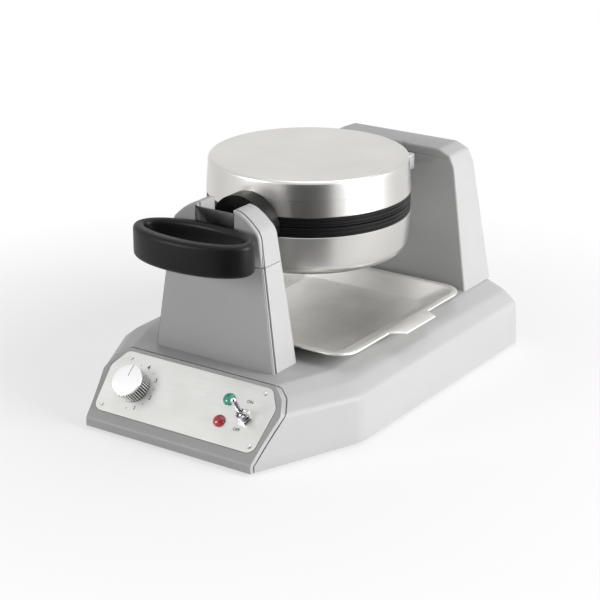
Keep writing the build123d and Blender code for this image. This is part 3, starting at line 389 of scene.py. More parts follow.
@dataclass(frozen=True)
class SpunCap:
    """The knob's spun aluminium cap.

    It gives the eye turned rings round the centre and one engraved pointer line, filled dark.
    """

    name: str
    centre: Vector
    pointer: Vector
    normal: Vector
    half_width_mm: float = 0.35
    line_from_mm: float = 4.0
    ring_mm: float = 0.4
    rough: Spot = (0.3, 0.46)
    metallic: float = 0.85
    light: str = "eeeeee"
    line: str = "55565a"

    def build(self) -> bpy.types.Material:
        """Builds the cap's metal as a node material.

        Returns:
            The material.
        """
        material, tree, coords = new_material(self.name)
        centred = add_node(tree, "ShaderNodeMapping", {"Location": tuple(-self.centre)},
                           {"Vector": coords.outputs["Object"]})
        across = self.normal.cross(self.pointer)
        side = add_node(tree, "ShaderNodeVectorMath", {1: tuple(across)}, {0: centred.outputs[0]},
                        operation="DOT_PRODUCT")
        along = add_node(tree, "ShaderNodeVectorMath", {1: tuple(self.pointer)},
                         {0: centred.outputs[0]}, operation="DOT_PRODUCT")
        width = add_node(tree, "ShaderNodeMath", links={0: side.outputs["Value"]},
                         operation="ABSOLUTE")
        thin = add_node(tree, "ShaderNodeMath", {1: self.half_width_mm * MM},
                        {0: width.outputs[0]}, operation="LESS_THAN")
        ahead = add_node(tree, "ShaderNodeMath", {1: self.line_from_mm * MM}, {0: along.outputs["Value"]},
                         operation="GREATER_THAN")
        mark = add_node(tree, "ShaderNodeMath", links={0: thin.outputs[0], 1: ahead.outputs[0]},
                        operation="MULTIPLY")
        radius = add_node(tree, "ShaderNodeVectorMath", links={0: centred.outputs[0]},
                          operation="LENGTH")
        rings = add_node(tree, "ShaderNodeTexNoise", {"Scale": 1000 / self.ring_mm, "Detail": 2.0},
                         {"Vector": radius.outputs["Value"]})
        tone = add_node(tree, "ShaderNodeMix", {6: linear(self.light), 7: linear(self.line)},
                        {0: mark.outputs[0]}, data_type="RGBA")
        rough = add_node(tree, "ShaderNodeMapRange", {"To Min": self.rough[0], "To Max": self.rough[1]},
                         {"Value": rings.outputs[0]})
        close_material(tree, {"Metallic": self.metallic},
                       {"Base Color": tone.outputs[2], "Roughness": rough.outputs[0]})
        return material


@dataclass(frozen=True)
class LampLens:
    """Moulded clear acrylic, tinted through.

    It gives the eye a deep colour at the middle and a glossy skin.
    """

    name: str
    light: str
    shade: str
    cell_mm: float = 2.38
    cell_reach: float = 0.8
    roughness: float = 0.18
    coat: float = 0.6
    coat_roughness: float = 0.05
    ior: float = 1.49

    def build(self) -> bpy.types.Material:
        """Builds the lens as a node material.

        Returns:
            The material.
        """
        material, tree, coords = new_material(self.name)
        cells = add_node(tree, "ShaderNodeTexVoronoi", {"Scale": 1000 / self.cell_mm},
                         {"Vector": coords.outputs["Object"]})
        spread = add_node(tree, "ShaderNodeMapRange", {"From Max": self.cell_reach},
                          {"Value": cells.outputs[0]})
        tone = add_node(tree, "ShaderNodeMix", {6: linear(self.shade), 7: linear(self.light)},
                        {0: spread.outputs[0]}, data_type="RGBA")
        close_material(tree, {"Roughness": self.roughness, "Coat Weight": self.coat,
                              "Coat Roughness": self.coat_roughness, "IOR": self.ior},
                       {"Base Color": tone.outputs[2]})
        return material


@dataclass(frozen=True)
class PrintedInk:
    """Screen-printed black ink on the plate.

    It gives the eye a matt black, a little broken at this size.
    """

    name: str = "printed_ink"
    light: str = "3a3b3d"
    shade: str = "1c1c1e"
    speck_mm: float = 1 / 3
    roughness: float = 0.6

    def build(self) -> bpy.types.Material:
        """Builds the ink as a node material.

        Returns:
            The material.
        """
        material, tree, coords = new_material(self.name)
        speck = add_node(tree, "ShaderNodeTexNoise", {"Scale": 1000 / self.speck_mm},
                         {"Vector": coords.outputs["Object"]})
        tone = add_node(tree, "ShaderNodeMix", {6: linear(self.shade), 7: linear(self.light)},
                        {0: speck.outputs[0]}, data_type="RGBA")
        close_material(tree, {"Roughness": self.roughness}, {"Base Color": tone.outputs[2]})
        return material


class Finishes:
    """The finish of each material slot."""

    def __init__(self) -> None:
        """Builds every finish once."""
        self.ink = PrintedInk().build()
        self.rib = BrushedMetal("bright_knob_rib", "f4f4f4", "e4e4e4", 0.42, Grain.NONE, 2.0, 0.05).build()
        kinds = {
            Slot.CASING: SatinPaint(),
            Slot.SHELL: SpunSteel(),
            Slot.TRAY: BrushedMetal("pressed_stainless", "e8e7e4", "d3d2ce", 0.49, Grain.ALONG_Y),
            Slot.PLATE: BrushedMetal("brushed_aluminium_plate", "d6d6d4", "c6c6c3", 0.42),
            Slot.PLATED: BrushedMetal("zinc_plated_steel", "bfc0c2", "a5a6a8", 0.32, Grain.NONE),
            Slot.CAST: BrushedMetal("sand_cast_aluminium", "b9b9ba", "989899", 0.5, Grain.NONE, 1.2, 0.6),
            Slot.RESIN: MouldedPlastic("moulded_phenolic_black", "151515", "0a0a0a", 0.4, sheen=0.18),
            Slot.RUBBER: MouldedPlastic("moulded_rubber", "1d1d1e", "121213", 0.75, 0.5, 0.4),
            Slot.BRONZE: BrushedMetal("sintered_bronze", "c19a5e", "93713e", 0.42, Grain.NONE),
            Slot.CHROME: BrushedMetal("bright_chrome", "e2e2e4", "cfcfd2", 0.1, Grain.NONE, 4.0, 0.02),
            Slot.READY: LampLens("green_acrylic", "1f9c83", "0a5a4b"),
            Slot.POWER: LampLens("red_acrylic", "c5303c", "6d0f1a"),
            Slot.PHENOLIC: MouldedPlastic("brown_phenolic", "3b3028", "2a221c", 0.55),
            Slot.WOOL: MouldedPlastic("ceramic_fibre_felt", "ded8c8", "c6bfad", 0.95, 2.0, 0.9),
        }
        self.by_slot: dict[Slot, bpy.types.Material] = {slot: kind.build() for slot, kind in kinds.items()}

    def of(self, slot: Slot) -> bpy.types.Material:
        """Returns the slot's finish."""
        return self.by_slot[slot]


def place(x: float, y: float, z: float) -> Vector:
    """Turns millimetres, with Y from the front lip, to the frame's metres."""
    return Vector((x * MM, (y - FRONT_LIP) * MM, z * MM))


def frame_at(origin: Vector, normal: Vector, along: Vector = Vector((1, 0, 0))) -> Matrix:
    """Makes a local frame.

    Args:
        origin: its place in the frame's metres.
        normal: where its Z points.
        along: where its X points.

    Returns:
        The matrix from that frame, in millimetres, to metres.
    """
    across = normal.cross(along).normalized()
    turn = Matrix((along, across, normal)).transposed().to_4x4()
    return Matrix.Translation(origin) @ turn @ Matrix.Scale(MM, 4)


def fascia(u: float, v: float, w: float = 0.0) -> Matrix:
    """Returns the local frame on the sloped face: u right, v up the slope, w out of it."""
    normal = Vector((0, -math.sin(SLOPE), math.cos(SLOPE)))
    up = Vector((0, math.cos(SLOPE), math.sin(SLOPE)))
    origin = place(0, 0, LIP_TOP) + MM * (u * Vector((1, 0, 0)) + v * up + w * normal)
    return frame_at(origin, normal)


def upright(x: float, y: float, z: float) -> Matrix:
    """Returns the local frame at a point, unturned."""
    return frame_at(place(x, y, z), Vector((0, 0, 1)))


def facing_back(x: float, y: float, z: float) -> Matrix:
    """Returns the local frame whose Z points to the machine's back."""
    return frame_at(place(x, y, z), Vector((0, 1, 0)))


def added(name: str, data: bpy.types.ID) -> bpy.types.Object:
    """Adds an object with its data to the scene, and returns it."""
    obj = bpy.data.objects.new(name, data)
    bpy.context.scene.collection.objects.link(obj)
    return obj


def baked(name: str, carrier: bpy.types.Object) -> bpy.types.Mesh:
    """Turns an object, with what its modifiers make, to a plain mesh, and takes the object away.

    Args:
        name: the mesh's name.
        carrier: the object.

    Returns:
        The mesh.
    """
    graph = bpy.context.evaluated_depsgraph_get()
    mesh = bpy.data.meshes.new_from_object(carrier.evaluated_get(graph))
    mesh.name = name
    bpy.data.objects.remove(carrier)
    return mesh


@dataclass
class Piece:
    """One finished piece: its mesh data and what it stands for."""

    name: str
    body: Body
    slot: Slot
    replaces: tuple[str, ...] = ()

    def put(self, mesh: bpy.types.Mesh, material: bpy.types.Material, smooth: bool = True) -> None:
        """Adds the piece to the scene, riding on its body.

        Args:
            mesh: its mesh, in the frame's metres.
            material: its finish.
            smooth: whether curved faces are shaded smooth.
        """
        mesh.materials.clear()
        mesh.materials.append(material)
        if smooth:
            mesh.polygons.foreach_set("use_smooth", [True] * len(mesh.polygons))
            mesh.set_sharp_from_angle(angle=SHARP)
        obj = added(self.name, mesh)
        if self.replaces:
            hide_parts(*self.replaces)
        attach(obj, self.body.value)
        log.info("%s: %d faces", self.name, len(mesh.polygons))


def mesh_of(name: str, points: Sequence[Vector], faces: Sequence[Sequence[int]]) -> bpy.types.Mesh:
    """Makes a closed mesh with its faces pointing out.

    Args:
        name: the mesh's name.
        points: its vertices.
        faces: vertex numbers of each face.

    Returns:
        The mesh.
    """
    mesh = bpy.data.meshes.new(name)
    mesh.from_pydata([tuple(p) for p in points], [], faces)
    work = bmesh.new()
    work.from_mesh(mesh)
    bmesh.ops.remove_doubles(work, verts=work.verts, dist=1e-6)
    bmesh.ops.recalc_face_normals(work, faces=work.faces)
    work.to_mesh(mesh)
    work.free()
    return mesh


def lathe(name: str, profile: Profile, at: Matrix, segments: int = 96,
          closed: bool = False) -> bpy.types.Mesh:
    """Turns a profile about the local Z axis.

    Args:
        name: the mesh's name.
        profile: radius and height of each point, in millimetres.
        at: the local frame.
        segments: steps round the axis.
        closed: whether the last point joins the first, as on a ring.

    Returns:
        The mesh.
    """
    points: list[Vector] = []
    for step in range(segments):
        a = 2 * math.pi * step / segments
        points += [at @ Vector((r * math.cos(a), r * math.sin(a), z)) for r, z in profile]
    count = len(profile)
    rows = count if closed else count - 1
    faces = []
    for step in range(segments):
        here, there = step * count, (step + 1) % segments * count
        for i in range(rows):
            j = (i + 1) % count
            faces.append((here + i, there + i, there + j, here + j))
    return mesh_of(name, points, faces)


def arc(centre: Spot, radius: float, start: float, end: float, steps: int = 6) -> list[Spot]:
    """Lists the points of an arc.

    Args:
        centre: its centre.
        radius: its radius.
        start: its first angle, in degrees.
        end: its last angle, in degrees.
        steps: its number of parts.

    Returns:
        The points.
    """
    angles = [math.radians(start + (end - start) * i / steps) for i in range(steps + 1)]
    return [(centre[0] + radius * math.cos(a), centre[1] + radius * math.sin(a)) for a in angles]


def rings(name: str, loops: Sequence[Sequence[Vector]], cap: bool = False) -> bpy.types.Mesh:
    """Joins closed loops of equal length, one after the other.

    Args:
        name: the mesh's name.
        loops: the loops, and the last joins the first unless capped.
        cap: whether the first and last loops are filled instead.

    Returns:
        The mesh.
    """
    count = len(loops[0])
    points = [p for loop in loops for p in loop]
    pairs = len(loops) - 1 if cap else len(loops)
    faces: list[tuple[int, ...]] = []
    for row in range(pairs):
        here, there = row * count, (row + 1) % len(loops) * count
        for i in range(count):
            j = (i + 1) % count
            faces.append((here + i, here + j, there + j, there + i))
    if cap:
        last = (len(loops) - 1) * count
        faces.append(tuple(range(count)))
        faces.append(tuple(range(last, last + count)))
    return mesh_of(name, points, faces)


@dataclass(frozen=True)
class Rounding:
    """One pass of edge rounding on a casting: its size and the edges that it takes."""

    radius: float
    wanted: Callable[[Vector, Vector], bool]
    steps: int = 3


def softened(node: str, passes: Sequence[Rounding]) -> bpy.types.Mesh:
    """Copies a CAD node's mesh with its chosen outer edges rounded.

    Args:
        node: the CAD node.
        passes: each rounding, which judges an edge by its middle, with Y from the lip, and its direction.

    Returns:
        The mesh.
    """
    work = bmesh.new()
    work.from_mesh(frame["nodes"][node].data)
    bmesh.ops.remove_doubles(work, verts=work.verts, dist=MERGE)
    bmesh.ops.dissolve_limit(work, angle_limit=FLAT, verts=work.verts, edges=work.edges)
    for rounding in passes:
        chosen = []
        for edge in work.edges:
            if len(edge.link_faces) != 2 or edge.calc_face_angle_signed(0.0) < FOLD:
                continue
            a, b = (vert.co for vert in edge.verts)
            middle = (a + b) / 2 / MM
            if rounding.wanted(Vector((middle.x, middle.y + FRONT_LIP, middle.z)), (b - a).normalized()):
                chosen.append(edge)
        bmesh.ops.bevel(work, geom=chosen, offset=rounding.radius * MM, segments=rounding.steps,
                        profile=0.5, affect="EDGES", clamp_overlap=False, loop_slide=True)
    bmesh.ops.remove_doubles(work, verts=work.verts, dist=MERGE)
    mesh = bpy.data.meshes.new(node + "_soft")
    work.to_mesh(mesh)
    work.free()
    return mesh


def cut_away(name: str, whole: bpy.types.Mesh, cutters: Sequence[bpy.types.Mesh]) -> bpy.types.Mesh:
    """Cuts closed forms out of another.

    Args:
        name: the result's name.
        whole: the form that is cut.
        cutters: the forms that are taken away.

    Returns:
        The mesh that is left.
    """
    body = added(name + "_whole", whole)
    tools = [added(name + "_cutter", cutter) for cutter in cutters]
    for tool in tools:
        modifier = body.modifiers.new("cut", "BOOLEAN")
        modifier.operation, modifier.solver, modifier.object = "DIFFERENCE", "EXACT", tool
    mesh = baked(name, body)
    for tool in tools:
        bpy.data.objects.remove(tool)
    return mesh


class Pattern:
    """A Geometry Nodes tree that repeats one small form."""

    def __init__(self, name: str, inputs: dict[str, tuple[str, object]]) -> None:
        """Starts the tree.

        Args:
            name: the tree's name.
            inputs: name of each input to its socket type and value.
        """
        self.tree = bpy.data.node_groups.new(name, "GeometryNodeTree")
        self.values = {key: start for key, (_, start) in inputs.items()}
        face = self.tree.interface
        face.new_socket("Geometry", in_out="INPUT", socket_type="NodeSocketGeometry")
        for key, (kind, _) in inputs.items():
            face.new_socket(key, in_out="INPUT", socket_type=kind)
        face.new_socket("Geometry", in_out="OUTPUT", socket_type="NodeSocketGeometry")
        self.enter = add_node(self.tree, "NodeGroupInput")

    def close(self, instances: bpy.types.NodeSocket, material: bpy.types.Material) -> None:
        """Ends the tree in real geometry with its finish."""
        real = add_node(self.tree, "GeometryNodeRealizeInstances", links={0: instances})
        dressed = add_node(self.tree, "GeometryNodeSetMaterial", {"Material": material},
                           {"Geometry": real.outputs[0]})
        add_node(self.tree, "NodeGroupOutput", links={0: dressed.outputs[0]})

    def grow(self, name: str, at: Matrix, sites: Sequence[Point] = ()) -> bpy.types.Mesh:
        """Runs the tree and keeps its result as a plain mesh.

        Args:
            name: the mesh's name.
            at: the local frame, in millimetres.
            sites: points that the tree takes as its geometry, in millimetres.

        Returns:
            The mesh, in the frame's metres.
        """
        seed_mesh = bpy.data.meshes.new(name + "_sites")
        seed_mesh.from_pydata([tuple(s) for s in sites], [], [])
        carrier = added(name + "_carrier", seed_mesh)
        modifier = carrier.modifiers.new("pattern", "NODES")
        modifier.node_group = self.tree
        for item in self.tree.interface.items_tree:
            if item.in_out == "INPUT" and item.name in self.values:
                modifier[item.identifier] = self.values[item.name]
        mesh = baked(name, carrier)
        mesh.transform(at)
        return mesh


def button_heads(material: bpy.types.Material, radius: float, height: float) -> Pattern:
    """Makes the pattern that sets one low round head on each site.

    Args:
        material: the heads' finish.
        radius: their radius, in millimetres.
        height: their height, in millimetres.

    Returns:
        The pattern.
    """
    made = Pattern("button_heads", {"Radius": ("NodeSocketFloat", radius),
                                    "Height": ("NodeSocketFloat", height)})
    top = add_node(made.tree, "ShaderNodeMath", {1: 0.6}, {0: made.enter.outputs["Radius"]},
                   operation="MULTIPLY")
    head = add_node(made.tree, "GeometryNodeMeshCone", {"Vertices": 24},
                    {"Radius Top": top.outputs[0], "Radius Bottom": made.enter.outputs["Radius"],
                     "Depth": made.enter.outputs["Height"]})
    spread = add_node(made.tree, "GeometryNodeInstanceOnPoints",
                      links={"Points": made.enter.outputs["Geometry"], "Instance": head.outputs[0]})
    made.close(spread.outputs[0], material)
    return made


def rib_ring(material: bpy.types.Material, count: int, radius: float, size: Point) -> Pattern:
    """Makes the pattern of ribs that stand round a knob.

    Args:
        material: the ribs' finish.
        count: how many ribs.
        radius: their distance from the axis, in millimetres.
        size: each rib's depth, width and height, in millimetres.

    Returns:
        The pattern.
    """
    made = Pattern("rib_ring", {"Count": ("NodeSocketInt", count),
                                "Radius": ("NodeSocketFloat", radius),
                                "Size": ("NodeSocketVector", size)})
    circle = add_node(made.tree, "GeometryNodeMeshCircle",
                      links={"Vertices": made.enter.outputs["Count"],
                             "Radius": made.enter.outputs["Radius"]})
    rib = add_node(made.tree, "GeometryNodeMeshCube", links={"Size": made.enter.outputs["Size"]})
    index = add_node(made.tree, "GeometryNodeInputIndex")
    share = add_node(made.tree, "ShaderNodeMath",
                     links={0: index.outputs[0], 1: made.enter.outputs["Count"]}, operation="DIVIDE")
    angle = add_node(made.tree, "ShaderNodeMath", {1: 2 * math.pi}, {0: share.outputs[0]},
                     operation="MULTIPLY")
    turn = add_node(made.tree, "ShaderNodeCombineXYZ", links={2: angle.outputs[0]})
    spread = add_node(made.tree, "GeometryNodeInstanceOnPoints",
                      links={"Points": circle.outputs[0], "Instance": rib.outputs[0],
                             "Rotation": turn.outputs[0]})
    made.close(spread.outputs[0], material)
    return made


def waffle_studs(material: bpy.types.Material, pitch: float, reach: float, foot: float, tip: float,
                 height: float) -> Pattern:
    """Makes the pattern of the grid plate's studs.

    Args:
        material: their finish.
        pitch: their spacing, in millimetres.
        reach: the largest distance of a stud's middle from the axis.
        foot: the side of a stud's foot.
        tip: the side of its tip.
        height: its height.

    Returns:
        The pattern.
    """
    per_side = 2 * (int(reach / pitch) + 1)
    made = Pattern("waffle_studs", {
        "Per Side": ("NodeSocketInt", per_side),
        "Span": ("NodeSocketFloat", pitch * (per_side - 1)),
        "Reach": ("NodeSocketFloat", reach),
        "Foot": ("NodeSocketFloat", foot / math.sqrt(2)),
        "Tip": ("NodeSocketFloat", tip / math.sqrt(2)),
        "Height": ("NodeSocketFloat", height),
    })
    enter = made.enter.outputs
    grid = add_node(made.tree, "GeometryNodeMeshGrid",
                    links={"Size X": enter["Span"], "Size Y": enter["Span"],
                           "Vertices X": enter["Per Side"], "Vertices Y": enter["Per Side"]})
    where = add_node(made.tree, "GeometryNodeInputPosition")
    length = add_node(made.tree, "ShaderNodeVectorMath", links={0: where.outputs[0]}, operation="LENGTH")
    far = add_node(made.tree, "ShaderNodeMath", links={0: length.outputs["Value"], 1: enter["Reach"]},
                   operation="GREATER_THAN")
    kept = add_node(made.tree, "GeometryNodeDeleteGeometry",
                    links={"Geometry": grid.outputs[0], "Selection": far.outputs[0]})
    stud = add_node(made.tree, "GeometryNodeMeshCone", {"Vertices": 4},
                    {"Radius Top": enter["Tip"], "Radius Bottom": enter["Foot"], "Depth": enter["Height"]})
    square = add_node(made.tree, "GeometryNodeTransform", {"Rotation": (0.0, 0.0, math.pi / 4)},
                      {"Geometry": stud.outputs[0]})
    spread = add_node(made.tree, "GeometryNodeInstanceOnPoints",
                      links={"Points": kept.outputs[0], "Instance": square.outputs[0]})
    made.close(spread.outputs[0], material)
    return made


@dataclass
class BaseSkin:
    """The flared base casing: faceted shoulders, from the sloped nose to the rounded back."""

    nose: tuple[Spot, ...] = ((97.9, LIP_TOP), (87.7, 47.9), (77.6, 59.4), (63.1, DECK_Z))
    full: tuple[Spot, ...] = ((145.4, LIP_TOP), (143.2, 47.9), (128.6, 59.4), (108.0, DECK_Z))
    soft: tuple[float, ...] = (4.0, 4.0, 3.2, 3.2)
    flare_y: float = 118.0
    flare_soft: float = 8.0
    nose_ys: tuple[float, ...] = (-4.0, 20.0, 50.0, 80.0)
    side_ys: tuple[float, ...] = (200.0, 300.0, 400.0)
    length: float = 435.0
    clear: float = 2.5
    wall: float = 3.0
    rear_r: float = 8.0
    bezel_depth: float = 4.2
    seam: float = 1.2
    cut_over: float = 4.0
    cut_out: float = 9.0
    cut_half: float = 200.0

    def build(self, finishes: Finishes) -> None:
        """Builds the base casing.

        Args:
            finishes: the shared finishes.
        """
        outer = rings("base_outer", self.loops(0.0, self.clear), cap=True)
        inner = rings("base_inner", self.loops(self.wall, -self.clear), cap=True)
        mesh = cut_away("base_casing", outer, [inner, self.nose_cutter()])
        Piece("base_casing", Body.BASE, Slot.CASING, ("base_housing",)).put(mesh, finishes.of(Slot.CASING))

    def loops(self, inset: float, low: float) -> list[list[Vector]]:
        """Makes the casing's sections from front to back.

        Args:
            inset: how far they are set in, as for a wall.
            low: the height of their lower edge.

        Returns:
            The sections, with the back's rounding last.
        """
        f, e, round_steps = self.flare_y, self.flare_soft, 5
        crease = [f - e + 2 * e * i / 6 for i in range(7)]
        made = [self.section(y, inset, low) for y in (*self.nose_ys, *crease, *self.side_ys)]
        for step in range(round_steps + 1):
            a = math.radians(90 * step / round_steps)
            y = self.length - inset - self.rear_r * (1 - math.sin(a))
            made.append(self.section(y, inset + self.rear_r * (1 - math.cos(a)), low))
        return made

    def share(self, y: float) -> float:
        """Works out how far the flare has opened, with a soft crease at its end.

        Args:
            y: the distance from the lip.

        Returns:
            Nought at the lip, and one from the flare's end on.
        """
        f, e = self.flare_y, self.flare_soft
        if y <= f - e:
            return y / f
        if y >= f + e:
            return 1.0
        t = (y - f + e) / (2 * e)
        return (1 - t) ** 2 * (f - e) / f + 2 * t * (1 - t) + t * t

    def section(self, y: float, inset: float, low: float) -> list[Vector]:
        """Makes one section with its corners rounded.

        Args:
            y: its distance from the lip.
            inset: how far it is set in.
            low: the height of its lower edge.

        Returns:
            Its points, up the right side and down the left.
        """
        s = self.share(y)
        corners = [Vector((n[0] + (w[0] - n[0]) * s - inset, n[1] - (inset if i else 0.0)))
                   for i, (n, w) in enumerate(zip(self.nose, self.full))]
        chain = [Vector((corners[0].x, low)), *corners, Vector((-corners[-1].x, corners[-1].y))]
        right = [chain[0]]
        for i, soft in enumerate(self.soft, 1):
            before = (chain[i - 1] - chain[i]).normalized() * soft + chain[i]
            after = (chain[i + 1] - chain[i]).normalized() * soft + chain[i]
            for step in range(6):
                t = step / 5
                right.append((1 - t) ** 2 * before + 2 * t * (1 - t) * chain[i] + t * t * after)
        both = right + [Vector((-p.x, p.y)) for p in reversed(right)]
        return [place(p.x, y, p.y) for p in both]

    def nose_cutter(self) -> bpy.types.Mesh:
        """Makes the prism that clears the front bezel and its seam.

        Returns:
            The mesh.
        """
        d, a, over, out = self.bezel_depth, SLOPE, self.cut_over, -self.cut_out
        along = (self.seam * math.cos(a), self.seam * math.sin(a))
        end = (NOSE_RUN + d * math.sin(a) + along[0], DECK_Z - d * math.cos(a) + along[1])
        top = (NOSE_RUN - over * math.sin(a) + along[0], DECK_Z + over * math.cos(a) + along[1])
        turn = (d, LIP_TOP + d * (math.tan(a) - 1 / math.cos(a)))
        outline = [(out, out), (out, top[1]), top, end, turn, (d, out)]
        ends = [[place(x, y, z) for y, z in outline] for x in (-self.cut_half, self.cut_half)]
        return rings("nose_cutter", ends, cap=True)


@dataclass
class Casing:
    """The painted bezel, front post, saddle and rear tower, with their edges softly rounded."""

    edge: float = 2.6
    rim: float = 2.4
    lip_soft: float = 2.0
    ear_corner: float = 5.5
    ear_half: float = 26.0
    ear_z: float = 195.0
    post_end: float = 85.0
    tower_front: float = 379.0
    tower_half: float = 84.0
    tower_top: float = 192.0
    back_y: float = 435.0
    back_lean: float = 3.2 / 147.5
    panel_half: float = 58.0
    panel_low: float = 92.0
    panel_top: float = 188.0
    panel_inset: float = 6.0
    head_r: float = 3.2
    head_h: float = 1.2
    head_sink: float = 0.4

    def build(self, finishes: Finishes) -> None:
        """Builds the casing's pieces.

        Args:
            finishes: the shared finishes.
        """
        BaseSkin().build(finishes)
        paint = finishes.of(Slot.CASING)
        rim = Rounding(self.rim, self.on_rim)
        corners = Rounding(self.ear_corner, self.on_ear, 5)
        self.soften("front_bezel", [Rounding(self.lip_soft, self.on_lip, 4)], paint)
        self.soften("front_post_cover", [rim], paint)
        self.soften("saddle_cover", [corners, rim], paint)
        self.soften("saddle_body", [corners], paint)
        self.soften("tower_shell", [Rounding(self.edge, self.on_tower, 4)], paint)
        self.panel_screws(finishes)

    def soften(self, node: str, passes: Sequence[Rounding], paint: bpy.types.Material) -> None:
        """Adds one softened piece in place of its CAD node.

        Args:
            node: the CAD node.
            passes: its roundings.
            paint: its finish.
        """
        piece = Piece(node + "_painted", Body.BASE, Slot.CASING, (node,))
        piece.put(softened(node, passes), paint)

    def on_lip(self, p: Vector, d: Vector) -> bool:
        """Says whether an edge is the fold between the bezel's lip and its slope."""
        return p.y < 0.3 and abs(p.z - LIP_TOP) < 0.5 and abs(d.x) > ALIGNED

    def on_rim(self, p: Vector, d: Vector) -> bool:
        """Says whether an edge goes round the front or the back of the post or the saddle."""
        return p.y < self.post_end and abs(d.y) < 0.8 and p.z > DECK_Z + 1.0

    def on_ear(self, p: Vector, d: Vector) -> bool:
        """Says whether an edge is an upper outer corner of the saddle's ears."""
        return abs(d.y) > ALIGNED and abs(p.x) > self.ear_half and p.z > self.ear_z

    def on_tower(self, p: Vector, d: Vector) -> bool:
        """Says whether an edge is on the tower's outside."""
        shoulder = abs(p.x) > self.tower_half or p.z > self.tower_top
        return shoulder and p.z > DECK_Z + 1.5 and p.y > self.tower_front

    def panel_screws(self, finishes: Finishes) -> None:
        """Adds the round screw heads that hold the rear panel.

        Args:
            finishes: the shared finishes.
        """
        half, low = self.panel_half - self.panel_inset, self.panel_low + self.panel_inset
        top = self.panel_top - self.panel_inset
        metal = finishes.of(Slot.PLATED)
        heads = button_heads(metal, self.head_r, self.head_h)
        # The panel leans forward as it rises, and each head is let a little into it.
        out = self.head_h / 2 - self.head_sink
        sites = [(x, -z, self.back_lean * (DECK_Z - z) + out) for x in (-half, half) for z in (low, top)]
        mesh = heads.grow("panel_screw_heads", facing_back(0, self.back_y, 0), sites)
        Piece("panel_screw_heads", Body.BASE, Slot.PLATED).put(mesh, metal)


